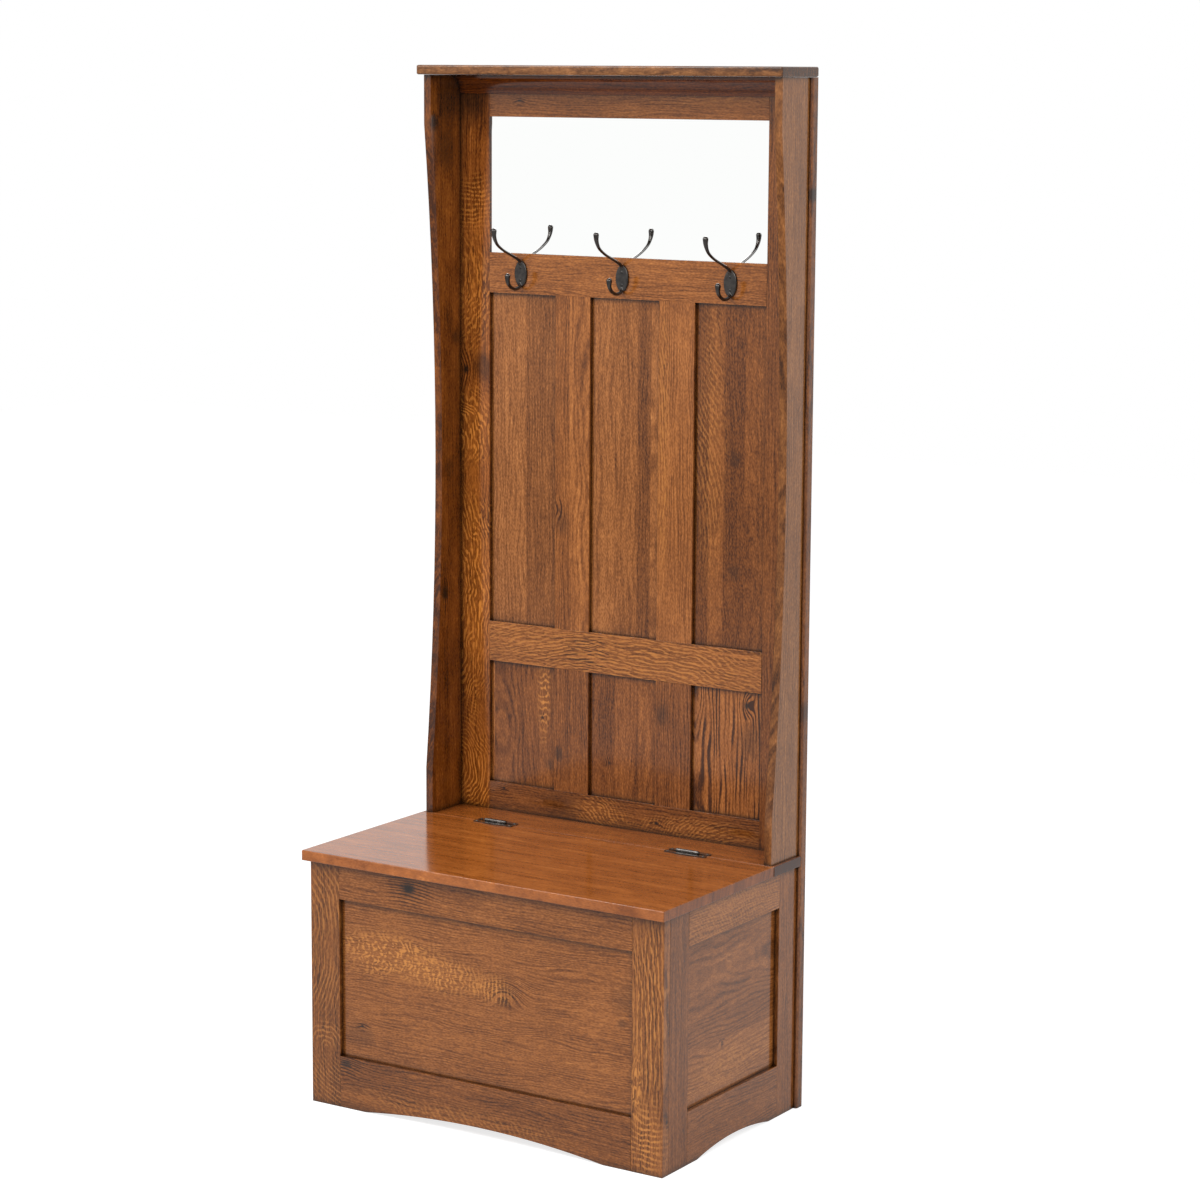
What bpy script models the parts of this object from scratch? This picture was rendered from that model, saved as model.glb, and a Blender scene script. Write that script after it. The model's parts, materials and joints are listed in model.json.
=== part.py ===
"""Hall bench with a lift-up seat over a storage chest.

A frame-and-panel back stands on the floor and carries three coat hooks and a
mirror.  Two shaped wings stand on a fixed seat strip and hold the cap board.
The lid turns on two surface hinges in front of that strip.

Frame: metres, X to the right, Y to the back, Z up, origin on the floor under
the middle of the overall box.
"""
import math

import bmesh
import bpy
from mathutils import Matrix, Vector

INCH = 0.0254

# Gap kept between two pieces that touch, and half of it for each of the two.
CLEAR = 0.0003
HALF_GAP = CLEAR / 2

# Overall size, known from the three stated dimensions.
WIDTH = 30.0 * INCH
DEPTH = 19.0 * INCH
HEIGHT = 73.0 * INCH
HALF_W = WIDTH / 2
FRONT_Y = -DEPTH / 2
BACK_Y = DEPTH / 2

# Stock thicknesses.
STOCK_T = 0.75 * INCH
WING_T = 0.60 * INCH
CAP_T = 0.69 * INCH
PANEL_T = 0.25 * INCH

# Frame-and-panel joinery, the same in the back and in the chest.
GROOVE_D = 0.375 * INCH
PANEL_AIR = 0.0625 * INCH
TENON_L = 1.25 * INCH
TENON_AIR = 0.0625 * INCH
BACK_REVEAL = 0.29 * INCH
CHEST_REVEAL = 0.33 * INCH

# Seat: the lid overhangs the chest, and a fixed strip lies behind it.
SEAT_Z = 18.45 * INCH
CHEST_Z = SEAT_Z - STOCK_T
LID_SIDE_LAP = 0.33 * INCH
LID_FRONT_LAP = 0.62 * INCH
STRIP_D = 3.77 * INCH
LID_SEAM = 0.04 * INCH
BOARD_EDGE_R = 0.07 * INCH
FACE_Y = BACK_Y - STOCK_T
STRIP_Y = FACE_Y - STRIP_D
LID_BACK_Y = STRIP_Y - LID_SEAM

# Chest: frame and panel on all sides, set in below the lid.
CHEST_HALF = HALF_W - LID_SIDE_LAP
CHEST_FRONT_Y = FRONT_Y + LID_FRONT_LAP
SIDE_FRONT_Y = CHEST_FRONT_Y + STOCK_T
SIDE_IN = CHEST_HALF - STOCK_T
FRONT_STILE_W = 2.5 * INCH
SIDE_STILE_W = 2.4 * INCH
CHEST_TOP_RAIL_W = 2.53 * INCH
CHEST_TOP_RAIL_Z = CHEST_Z - CHEST_TOP_RAIL_W
CHEST_LOW_RAIL_Z = 3.73 * INCH
FRONT_ARCH_INSET = 2.2 * INCH
FRONT_ARCH_RISE = 0.69 * INCH
SIDE_ARCH_FRONT_INSET = 1.33 * INCH
SIDE_ARCH_REAR_INSET = 1.13 * INCH
SIDE_ARCH_RISE = 0.52 * INCH
FLOOR_BOARD_DROP = 0.73 * INCH
FLOOR_BOARD_T = 0.5 * INCH
FLOOR_BOARD_Z = CHEST_LOW_RAIL_Z - FLOOR_BOARD_DROP
CLEAT_W = 0.75 * INCH
ARC_STEPS = 16

# Back frame: its stiles stand proud of the chest, and its rails are set from the cap and the seat.
BACK_PROUD = 0.28 * INCH
BACK_STILE_W = 3.37 * INCH
BACK_HALF = CHEST_HALF + BACK_PROUD
BACK_IN = BACK_HALF - BACK_STILE_W
BACK_CORNER_R = 0.1875 * INCH
CAP_Z = HEIGHT - CAP_T
RAIL_W = 2.95 * INCH
HOOK_RAIL_W = 2.9 * INCH
MIRROR_H = 9.71 * INCH
LOWER_PANEL_H = 9.11 * INCH
SEAT_RAIL_DROP = 0.13 * INCH
TOP_RAIL_Z = CAP_Z - RAIL_W
HOOK_RAIL_TOP = TOP_RAIL_Z - MIRROR_H
HOOK_RAIL_Z = HOOK_RAIL_TOP - HOOK_RAIL_W
SEAT_RAIL_Z = CHEST_Z - SEAT_RAIL_DROP
SEAT_RAIL_TOP = SEAT_RAIL_Z + RAIL_W
MIDDLE_RAIL_Z = SEAT_RAIL_TOP + LOWER_PANEL_H
MIDDLE_RAIL_TOP = MIDDLE_RAIL_Z + RAIL_W
FOOT_RAIL_Z = CHEST_LOW_RAIL_Z - RAIL_W
MULLION_W = 2.95 * INCH
BACK_PANEL_W = (2 * BACK_IN - 2 * MULLION_W) / 3

# Mirror in a two-step rabbet: the glass in the inner step, its backing behind.
MIRROR_LIP = 0.14 * INCH
GLASS_T = 0.157 * INCH
GLASS_STEP = 0.25 * INCH
BACKING_T = 0.25 * INCH
BACKING_STEP = 0.65 * INCH
RABBET_PLAY = 0.03 * INCH

# Wings: front edge straight at both ends with one shallow hollow between.
WING_PROUD = 0.05 * INCH
WING_OUT = CHEST_HALF + WING_PROUD
WING_IN = WING_OUT - WING_T
WING_SETBACK = 0.05 * INCH
WING_FRONT_Y = STRIP_Y + WING_SETBACK
WING_STRAIGHT_LOW = 3.35 * INCH
WING_STRAIGHT_HIGH = 3.51 * INCH
WING_HOLLOW_D = 1.27 * INCH

# Cap board and the cove moulding below it.
CAP_LAP = 0.49 * INCH
CAP_FRONT_Y = STRIP_Y - CAP_LAP
CAP_EDGE_R = 0.12 * INCH
CROWN_DROP = 1.33 * INCH
CROWN_OUT = 0.80 * INCH
CROWN_TOP_FILLET = 0.25 * INCH
CROWN_LOW_FILLET = 0.15 * INCH
CROWN_COVE_OUT = 0.70 * INCH
CROWN_FOOT = 0.12 * INCH
COVE_STEPS = 8

# Surface hinges, placed from the chest's sides.
HINGE_INSET_LEFT = 6.27 * INCH
HINGE_INSET_RIGHT = 6.67 * INCH
HINGE_AXIS_Y = (STRIP_Y + LID_BACK_Y) / 2
BARREL_R = 0.128 * INCH
BARREL_L = 1.70 * INCH
KNUCKLES = 5
LEAF_T = 0.05 * INCH
LEAF_D = 0.66 * INCH
LEAF_LOBE_X = 1.44 * INCH
LEAF_LOBE_Y = 0.31 * INCH
LEAF_LOBE_R = 0.27 * INCH
LEAF_SHOULDER_X = 1.05 * INCH
LEAF_SHOULDER_Y = 0.52 * INCH
PIN_R = 0.055 * INCH
PIN_HEAD_R = 0.105 * INCH
PIN_HEAD_H = 0.05 * INCH
HINGE_AXIS_Z = SEAT_Z + CLEAR + BARREL_R

# Double coat hooks: a plate, a long upper arm and a short lower one.
HOOK_INSET_LEFT = 2.78 * INCH
HOOK_INSET_RIGHT = 2.86 * INCH
MIDDLE_HOOK_X = -0.15 * INCH
HOOK_Z = (HOOK_RAIL_Z + HOOK_RAIL_TOP) / 2
PLATE_W = 1.04 * INCH
PLATE_H = 1.86 * INCH
HOOK_PLATE_T = 0.13 * INCH
PLATE_RIM = 0.05 * INCH
# Each arm point: distance out from the back face, height over the plate's centre, radius.
UPPER_ARM = (
    (0.06, 0.72, 0.125),
    (0.32, 0.99, 0.120),
    (1.20, 1.36, 0.105),
    (2.20, 1.74, 0.100),
    (2.93, 2.14, 0.108),
    (3.25, 2.48, 0.128),
    (3.42, 2.84, 0.165),
    (3.45, 3.18, 0.205),
)
LOWER_ARM = (
    (0.06, -0.76, 0.130),
    (0.33, -1.00, 0.128),
    (0.88, -1.06, 0.125),
    (1.42, -0.84, 0.130),
    (1.71, -0.49, 0.155),
    (1.74, -0.10, 0.215),
)
ARM_STEPS = 3
ARM_SIDES = 12
HOOK_SCREW_UP = 0.42 * INCH
HOOK_SCREW_DOWN = 0.47 * INCH

# Countersunk screws: shank radius, head radius, head height, length.
HOOK_SCREW = (0.065 * INCH, 0.115 * INCH, 0.08 * INCH, 0.70 * INCH)
HINGE_SCREW = (0.055 * INCH, 0.11 * INCH, 0.045 * INCH, 0.50 * INCH)
SCREW_SIDES = 12

OAK = (0.30, 0.12, 0.045, 1.0)
OAK_DARK = (0.22, 0.085, 0.032, 1.0)
PLYWOOD = (0.45, 0.30, 0.17, 1.0)
BRONZE = (0.045, 0.038, 0.034, 1.0)
SILVERED = (0.86, 0.88, 0.88, 1.0)


def clear_scene():
    for obj in list(bpy.data.objects):
        bpy.data.objects.remove(obj)


def material(name, colour, metallic=0.0, roughness=0.4):
    mat = bpy.data.materials.new(name)
    mat.use_nodes = True
    shader = mat.node_tree.nodes["Principled BSDF"]
    shader.inputs["Base Color"].default_value = colour
    shader.inputs["Metallic"].default_value = metallic
    shader.inputs["Roughness"].default_value = roughness
    return mat


def object_from(name, work, place=(0.0, 0.0, 0.0)):
    """Turn a bmesh into an object whose origin sits at place."""
    bmesh.ops.translate(work, verts=work.verts, vec=-Vector(place))
    bmesh.ops.recalc_face_normals(work, faces=work.faces)
    mesh = bpy.data.meshes.new(name)
    work.to_mesh(mesh)
    work.free()
    obj = bpy.data.objects.new(name, mesh)
    obj.location = place
    bpy.context.scene.collection.objects.link(obj)
    return obj


def finish(obj, colour, metallic=0.0, roughness=0.4):
    obj.data.materials.append(material(obj.name, colour, metallic, roughness))
    return obj


def guide(obj):
    """Mark an object that only cuts or joins others."""
    obj.hide_render = True
    obj.hide_set(True)
    obj.display_type = "WIRE"
    return obj


def boolean(target, other, operation):
    mod = target.modifiers.new(other.name, "BOOLEAN")
    mod.operation = operation
    mod.solver = "EXACT"
    mod.object = other


def cut(target, cutter):
    boolean(target, cutter, "DIFFERENCE")


def join(target, piece):
    boolean(target, piece, "UNION")


def box_mesh(x, y, z):
    """One box between the two ends given for each axis."""
    work = bmesh.new()
    size = (x[1] - x[0], y[1] - y[0], z[1] - z[0])
    middle = Vector(((x[0] + x[1]) / 2, (y[0] + y[1]) / 2, (z[0] + z[1]) / 2))
    place = Matrix.Translation(middle) @ Matrix.Diagonal((*size, 1.0))
    bmesh.ops.create_cube(work, size=1.0, matrix=place)
    return work, middle


def board(name, x, y, z, meets=""):
    """A board with its origin at its centre.

    meets names the faces that touch another piece, out of l r f b d u
    (left, right, front, back, down, up); each is drawn back by half the gap.
    """
    trim = {face: HALF_GAP if face in meets else 0.0 for face in "lrfbdu"}
    work, middle = box_mesh((x[0] + trim["l"], x[1] - trim["r"]),
                            (y[0] + trim["f"], y[1] - trim["b"]),
                            (z[0] + trim["d"], z[1] - trim["u"]))
    return object_from(name, work, middle)


def guide_box(name, x, y, z):
    work, middle = box_mesh(x, y, z)
    return guide(object_from(name, work, middle))


def cut_box(target, label, x, y, z):
    cut(target, guide_box(target.name + "_" + label, x, y, z))


def join_box(target, label, x, y, z):
    join(target, guide_box(target.name + "_" + label, x, y, z))


def prism(name, outline, axis, ends, place=(0.0, 0.0, 0.0)):
    """Extrude a flat outline along an axis; outline pairs are the other two axes."""
    index = "XYZ".index(axis)
    work = bmesh.new()
    corners = []
    for pair in outline:
        point = list(pair)
        point.insert(index, ends[0])
        corners.append(work.verts.new(point))
    face = work.faces.new(corners)
    grown = bmesh.ops.extrude_face_region(work, geom=[face])
    moved = [part for part in grown["geom"] if isinstance(part, bmesh.types.BMVert)]
    step = Vector((0.0, 0.0, 0.0))
    step[index] = ends[1] - ends[0]
    bmesh.ops.translate(work, verts=moved, vec=step)
    return object_from(name, work, place)


def arc(centre, radius, start, end, steps):
    """Points on a circle from start to end in degrees, both included."""
    points = []
    for count in range(steps + 1):
        angle = math.radians(start + (end - start) * count / steps)
        points.append((centre[0] + radius * math.cos(angle),
                       centre[1] + radius * math.sin(angle)))
    return points


def bow(low, high, rise, steps):
    """Offsets of a circular bow over a chord from low to high."""
    half = (high - low) / 2
    radius = (half * half + rise * rise) / (2 * rise)
    middle = (low + high) / 2
    sweep = math.degrees(math.asin(half / radius))
    points = arc((middle, rise - radius), radius, 90 + sweep, 90 - sweep, steps)
    return [(along, max(across, 0.0)) for along, across in points]


def smooth(obj, angle=40.0):
    obj.data.shade_smooth()
    obj.data.set_sharp_from_angle(angle=math.radians(angle))


def ease_edges(obj, radius, segments=2):
    """Round the edges of a board before anything is cut into it."""
    mod = obj.modifiers.new("eased_edges", "BEVEL")
    mod.width = radius
    mod.segments = segments
    mod.limit_method = "ANGLE"
    mod.angle_limit = math.radians(60)


def hang_on(parent, children):
    """Parent pieces to an unturned empty and keep them where they are."""
    for child in children:
        child.parent = parent
        child.location = child.location - parent.location


# Screws.

def screw_shape(name, place, direction, size, grow=0.0):
    """A countersunk screw whose head face sits at place; grow widens it into its hole."""
    shank_r, head_r, head_h, length = size
    profile = ((-grow, head_r + grow), (head_h, shank_r + grow), (length - 2 * shank_r, shank_r + grow),
               (length + grow, 0.3 * shank_r + grow))
    turn = Vector((0.0, 0.0, 1.0)).rotation_difference(Vector(direction)).to_matrix().to_4x4()
    work = bmesh.new()
    rings = []
    for along, radius in profile:
        spot = Matrix.Translation(place) @ turn @ Matrix.Translation((0.0, 0.0, along))
        ring = bmesh.ops.create_circle(work, segments=SCREW_SIDES, radius=radius, matrix=spot)
        rings.append(ring["verts"])
    for lower, upper in zip(rings, rings[1:]):
        ends = (set(lower), set(upper))
        loops = [edge for edge in work.edges if set(edge.verts) <= ends[0] or set(edge.verts) <= ends[1]]
        bmesh.ops.bridge_loops(work, edges=loops)
    work.faces.new(rings[0])
    work.faces.new(rings[-1])
    return object_from(name, work, place)


def drive_screw(name, place, direction, size, through):
    """Make one screw and cut its hole in every piece that it goes through."""
    fixing = finish(screw_shape(name, place, direction, size), BRONZE, metallic=0.9, roughness=0.4)
    smooth(fixing)
    hole = guide(screw_shape(name + "_hole", place, direction, size, CLEAR))
    for piece in through:
        cut(piece, hole)
    return fixing


# Frame-and-panel work.

def rail_with_tenons(name, x, y, z, plane, haunch):
    """A rail along X with a tenon at each end, shouldered by haunch below and above."""
    rail = board(name, x, y, z, "lr")
    for label, root, tip in (("tenon_left", x[0], x[0] - TENON_L), ("tenon_right", x[1], x[1] + TENON_L)):
        inner = root + math.copysign(GROOVE_D, root - tip)
        ends = (min(inner, tip), max(inner, tip))
        join_box(rail, label, ends, plane, (z[0] + haunch[0], z[1] - haunch[1]))
    return rail


def grown_plane(plane):
    """The groove around a panel or tenon: one gap wider on each face."""
    return (plane[0] - CLEAR, plane[1] + CLEAR)


def build_back():
    """The standing frame with its panels, and the mirror's rabbets."""
    plane = (FACE_Y + BACK_REVEAL, FACE_Y + BACK_REVEAL + PANEL_T)
    groove = grown_plane(plane)
    thick = (FACE_Y, BACK_Y)
    spans = {"rail_top": (TOP_RAIL_Z, CAP_Z), "rail_hook": (HOOK_RAIL_Z, HOOK_RAIL_TOP),
             "rail_middle": (MIDDLE_RAIL_Z, MIDDLE_RAIL_TOP), "rail_seat": (SEAT_RAIL_Z, SEAT_RAIL_TOP),
             "rail_foot": (FOOT_RAIL_Z, CHEST_LOW_RAIL_Z)}
    rail_x = (-BACK_IN, BACK_IN)
    inner_step = FACE_Y + MIRROR_LIP
    outer_step = inner_step + GLASS_T + CLEAR
    past_back = BACK_Y + GROOVE_D
    beside_mirror = BACKING_STEP + GROOVE_D / 2
    shoulders = {"rail_top": (beside_mirror, GROOVE_D), "rail_hook": (GROOVE_D, beside_mirror)}

    nodes = {}
    mortises = []
    for name, span in spans.items():
        haunch = shoulders.get(name, (GROOVE_D, GROOVE_D))
        meets_cap = HALF_GAP if name == "rail_top" else 0.0
        rail = rail_with_tenons(name, rail_x, thick, (span[0], span[1] - meets_cap), plane, haunch)
        mortises.append((span[0] + haunch[0] - CLEAR, span[1] - haunch[1] + CLEAR))
        nodes[name] = finish(rail, OAK)

    below = {"rail_hook", "rail_middle", "rail_seat"}
    above = {"rail_middle", "rail_seat", "rail_foot"}
    full = (rail_x[0] - CLEAR, rail_x[1] + CLEAR)
    for name, span in spans.items():
        if name in below:
            cut_box(nodes[name], "groove_low", full, groove, (span[0] - CLEAR, span[0] + GROOVE_D))
        if name in above:
            cut_box(nodes[name], "groove_high", full, groove, (span[1] - GROOVE_D, span[1] + CLEAR))
    steps = (("glass_step", GLASS_STEP, inner_step), ("backing_step", BACKING_STEP, outer_step))
    for label, step, start in steps:
        depth = (start, past_back)
        cut_box(nodes["rail_top"], label, full, depth, (TOP_RAIL_Z - CLEAR, TOP_RAIL_Z + step))
        cut_box(nodes["rail_hook"], label, full, depth, (HOOK_RAIL_TOP - step, HOOK_RAIL_TOP + CLEAR))

    panel_spans = (("high", (MIDDLE_RAIL_TOP, HOOK_RAIL_Z)), ("low", (SEAT_RAIL_TOP, MIDDLE_RAIL_Z)),
                   ("chest", (CHEST_LOW_RAIL_Z, SEAT_RAIL_Z)))
    for side, sign in (("left", -1), ("right", 1)):
        x = sorted((sign * BACK_IN, sign * BACK_HALF))
        stile = board("back_stile_" + side, x, thick, (0.0, CAP_Z), "lu" if sign > 0 else "ru")
        inner = sign * (BACK_IN - GROOVE_D)
        for label, span in panel_spans:
            depth = sorted((inner, sign * (BACK_IN + GROOVE_D)))
            cut_box(stile, "groove_" + label, depth, groove, (span[0] - GROOVE_D, span[1] + GROOVE_D))
        for count, span in enumerate(mortises):
            depth = sorted((inner, sign * (BACK_IN + TENON_L + TENON_AIR)))
            cut_box(stile, "mortise_" + str(count), depth, groove, span)
        for label, step, start in steps:
            depth = sorted((inner, sign * (BACK_IN + step)))
            cut_box(stile, label, depth, (start, past_back), (HOOK_RAIL_TOP - step, TOP_RAIL_Z + step))
        nodes[stile.name] = finish(stile, OAK)
        round_outer_corner(stile, sign)

    build_back_panels(nodes, plane, groove)
    build_mirror(nodes, inner_step, outer_step)
    return nodes


def round_outer_corner(stile, sign):
    """Round the stile's long front corner, the one that shows beside the wing."""
    radius = BACK_CORNER_R
    centre = (sign * (BACK_HALF - radius), FACE_Y + radius)
    start = 270
    outline = arc(centre, radius, start, start + sign * 90, 4)
    outline.append((sign * (BACK_HALF + radius), FACE_Y + radius))
    outline.append((sign * (BACK_HALF + radius), FACE_Y - radius))
    outline.append((centre[0], FACE_Y - radius))
    cutter = prism(stile.name + "_corner", outline, "Z", (-CLEAR, CAP_Z + CLEAR))
    cut(stile, guide(cutter))


def build_back_panels(nodes, plane, groove):
    """Mullions with stub tenons, three panels over three, and the chest's back panel."""
    thick = (FACE_Y, BACK_Y)
    reach = GROOVE_D - PANEL_AIR
    rows = (("upper", (MIDDLE_RAIL_TOP, HOOK_RAIL_Z)), ("lower", (SEAT_RAIL_TOP, MIDDLE_RAIL_Z)))
    for row, z in rows:
        for side, sign in (("left", -1), ("right", 1)):
            middle = sign * (BACK_PANEL_W + MULLION_W) / 2
            x = (middle - MULLION_W / 2, middle + MULLION_W / 2)
            post = board("mullion_" + row + "_" + side, x, thick, z, "du")
            join_box(post, "stub", (x[0] + GROOVE_D, x[1] - GROOVE_D), plane, (z[0] - reach, z[1] + reach))
            tall = (z[0] - GROOVE_D, z[1] + GROOVE_D)
            cut_box(post, "groove_a", (x[0] - CLEAR, x[0] + GROOVE_D - CLEAR), groove, tall)
            cut_box(post, "groove_b", (x[1] - GROOVE_D + CLEAR, x[1] + CLEAR), groove, tall)
            nodes[post.name] = finish(post, OAK)
        for side, place in (("left", -1), ("middle", 0), ("right", 1)):
            middle = place * (BACK_PANEL_W + MULLION_W)
            half = BACK_PANEL_W / 2 + reach
            panel = board("panel_" + row + "_" + side, (middle - half, middle + half), plane,
                          (z[0] - reach, z[1] + reach))
            nodes[panel.name] = finish(panel, OAK_DARK)
    half = BACK_IN + reach
    panel = board("chest_back_panel", (-half, half), plane, (CHEST_LOW_RAIL_Z - reach, SEAT_RAIL_Z + reach))
    nodes[panel.name] = finish(panel, OAK_DARK)


def build_mirror(nodes, inner_step, outer_step):
    """The glass and the backing board behind it."""
    glass_out = GLASS_STEP - RABBET_PLAY
    glass = board("mirror_glass", (-BACK_IN - glass_out, BACK_IN + glass_out),
                  (inner_step + CLEAR, inner_step + GLASS_T),
                  (HOOK_RAIL_TOP - glass_out, TOP_RAIL_Z + glass_out))
    nodes[glass.name] = finish(glass, SILVERED, metallic=1.0, roughness=0.03)

    back_out = BACKING_STEP - RABBET_PLAY
    back_face = outer_step + CLEAR + BACKING_T
    backing = board("mirror_backing", (-BACK_IN - back_out, BACK_IN + back_out),
                    (outer_step + CLEAR, back_face),
                    (HOOK_RAIL_TOP - back_out, TOP_RAIL_Z + back_out))
    nodes[backing.name] = finish(backing, PLYWOOD, roughness=0.7)


def build_chest(nodes):
    """Front frame, two side frames and the floor board on its cleats."""
    plane = (CHEST_FRONT_Y + CHEST_REVEAL, CHEST_FRONT_Y + CHEST_REVEAL + PANEL_T)
    thick = (CHEST_FRONT_Y, SIDE_FRONT_Y)
    inner = CHEST_HALF - FRONT_STILE_W
    haunch = (GROOVE_D, GROOVE_D)
    x = (-inner, inner)
    top = rail_with_tenons("front_rail_top", x, thick, (CHEST_TOP_RAIL_Z, CHEST_Z - HALF_GAP), plane, haunch)
    low = rail_with_tenons("front_rail_bottom", x, thick, (0.0, CHEST_LOW_RAIL_Z), plane, haunch)
    full = (-inner - CLEAR, inner + CLEAR)
    groove = grown_plane(plane)
    cut_box(top, "groove", full, groove, (CHEST_TOP_RAIL_Z - CLEAR, CHEST_TOP_RAIL_Z + GROOVE_D))
    cut_box(low, "groove", full, groove, (CHEST_LOW_RAIL_Z - GROOVE_D, CHEST_LOW_RAIL_Z + CLEAR))
    arch_half = inner - FRONT_ARCH_INSET
    arch = bow(-arch_half, arch_half, FRONT_ARCH_RISE, ARC_STEPS)
    arch = [(-arch_half, -CLEAR)] + arch + [(arch_half, -CLEAR)]
    past = (CHEST_FRONT_Y - CLEAR, SIDE_FRONT_Y + CLEAR)
    cut(low, guide(prism("front_arch", arch, "Y", past)))
    nodes[top.name] = finish(top, OAK)
    nodes[low.name] = finish(low, OAK)

    for side, sign in (("left", -1), ("right", 1)):
        across = sorted((sign * inner, sign * CHEST_HALF))
        stile = board("front_stile_" + side, across, thick, (0.0, CHEST_Z), "lbu" if sign > 0 else "rbu")
        depth = sorted((sign * (inner - GROOVE_D), sign * (inner + GROOVE_D)))
        cut_box(stile, "groove", depth, groove, (CHEST_LOW_RAIL_Z - GROOVE_D, CHEST_TOP_RAIL_Z + GROOVE_D))
        depth = sorted((sign * (inner - GROOVE_D), sign * (inner + TENON_L + TENON_AIR)))
        cut_box(stile, "mortise_top", depth, groove,
                (CHEST_TOP_RAIL_Z + GROOVE_D - CLEAR, CHEST_Z - HALF_GAP - GROOVE_D + CLEAR))
        cut_box(stile, "mortise_low", depth, groove,
                (GROOVE_D - CLEAR, CHEST_LOW_RAIL_Z - GROOVE_D + CLEAR))
        nodes[stile.name] = finish(stile, OAK)
        build_side(nodes, side, sign)

    reach = GROOVE_D - PANEL_AIR
    panel = board("front_panel", (-inner - reach, inner + reach), plane,
                  (CHEST_LOW_RAIL_Z - reach, CHEST_TOP_RAIL_Z + reach))
    nodes[panel.name] = finish(panel, OAK_DARK)

    floor = board("bottom_board", (-SIDE_IN, SIDE_IN), (SIDE_FRONT_Y, FACE_Y),
                  (FLOOR_BOARD_Z, FLOOR_BOARD_Z + FLOOR_BOARD_T), "lrfbd")
    nodes[floor.name] = finish(floor, PLYWOOD, roughness=0.7)


def build_side(nodes, side, sign):
    """One side frame, with its rails running front to back, and its cleat."""
    across = sorted((sign * SIDE_IN, sign * CHEST_HALF))
    outer = sign * (CHEST_HALF - CHEST_REVEAL)
    plane = sorted((outer, outer - sign * PANEL_T))
    groove = grown_plane(plane)
    open_y = (SIDE_FRONT_Y + SIDE_STILE_W, FACE_Y - SIDE_STILE_W)
    prefix = "side_" + side + "_"
    rails = (("rail_top", (CHEST_TOP_RAIL_Z, CHEST_Z - HALF_GAP)), ("rail_bottom", (0.0, CHEST_LOW_RAIL_Z)))
    mortises = []
    for name, z in rails:
        rail = board(prefix + name, across, open_y, z, "fb")
        tenon_z = (z[0] + GROOVE_D, z[1] - GROOVE_D)
        join_box(rail, "tenon_front", plane, (open_y[0] - TENON_L, open_y[0] + GROOVE_D), tenon_z)
        join_box(rail, "tenon_rear", plane, (open_y[1] - GROOVE_D, open_y[1] + TENON_L), tenon_z)
        mortises.append((tenon_z[0] - CLEAR, tenon_z[1] + CLEAR))
        nodes[rail.name] = finish(rail, OAK)
    full = (open_y[0] - CLEAR, open_y[1] + CLEAR)
    cut_box(nodes[prefix + "rail_top"], "groove", groove, full,
            (CHEST_TOP_RAIL_Z - CLEAR, CHEST_TOP_RAIL_Z + GROOVE_D))
    low = nodes[prefix + "rail_bottom"]
    cut_box(low, "groove", groove, full, (CHEST_LOW_RAIL_Z - GROOVE_D, CHEST_LOW_RAIL_Z + CLEAR))
    arch_y = (open_y[0] + SIDE_ARCH_FRONT_INSET, open_y[1] - SIDE_ARCH_REAR_INSET)
    arch = bow(*arch_y, SIDE_ARCH_RISE, ARC_STEPS)
    arch = [(arch_y[0], -CLEAR)] + arch + [(arch_y[1], -CLEAR)]
    past = (across[0] - CLEAR, across[1] + CLEAR)
    cut(low, guide(prism(prefix + "arch", arch, "X", past)))

    ends = (("stile_front", SIDE_FRONT_Y, open_y[0], 1), ("stile_rear", open_y[1], FACE_Y, -1))
    for name, y0, y1, toward in ends:
        stile = board(prefix + name, across, (y0, y1), (0.0, CHEST_Z), "fbu")
        edge = y1 if toward > 0 else y0
        depth = sorted((edge + toward * GROOVE_D, edge - toward * GROOVE_D))
        cut_box(stile, "groove", groove, depth, (CHEST_LOW_RAIL_Z - GROOVE_D, CHEST_TOP_RAIL_Z + GROOVE_D))
        depth = sorted((edge + toward * GROOVE_D, edge - toward * (TENON_L + TENON_AIR)))
        for count, span in enumerate(mortises):
            cut_box(stile, "mortise_" + str(count), groove, depth, span)
        nodes[stile.name] = finish(stile, OAK)

    reach = GROOVE_D - PANEL_AIR
    panel = board(prefix + "panel", plane, (open_y[0] - reach, open_y[1] + reach),
                  (CHEST_LOW_RAIL_Z - reach, CHEST_TOP_RAIL_Z + reach))
    nodes[panel.name] = finish(panel, OAK_DARK)

    cleat_x = sorted((sign * SIDE_IN, sign * (SIDE_IN - CLEAT_W)))
    cleat = board("bottom_cleat_" + side, cleat_x, (SIDE_FRONT_Y, FACE_Y),
                  (FLOOR_BOARD_Z - CLEAT_W, FLOOR_BOARD_Z), "lfbu" if sign < 0 else "rfbu")
    nodes[cleat.name] = finish(cleat, OAK_DARK)


def build_wings(nodes):
    for side, sign in (("left", -1), ("right", 1)):
        low = SEAT_Z + HALF_GAP
        high = CAP_Z - HALF_GAP
        back = FACE_Y - HALF_GAP
        outline = [(back, low), (back, high), (WING_FRONT_Y, high)]
        hollow = bow(SEAT_Z + WING_STRAIGHT_LOW, CAP_Z - WING_STRAIGHT_HIGH, WING_HOLLOW_D, ARC_STEPS)
        outline += [(WING_FRONT_Y + inward, z) for z, inward in reversed(hollow)]
        outline.append((WING_FRONT_Y, low))
        middle = sign * (WING_OUT + WING_IN) / 2
        ends = (middle - WING_T / 2, middle + WING_T / 2)
        wing = prism("wing_" + side, outline, "X", ends, (middle, FACE_Y, SEAT_Z))
        nodes[wing.name] = finish(wing, OAK)
        smooth(wing, 20.0)


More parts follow.
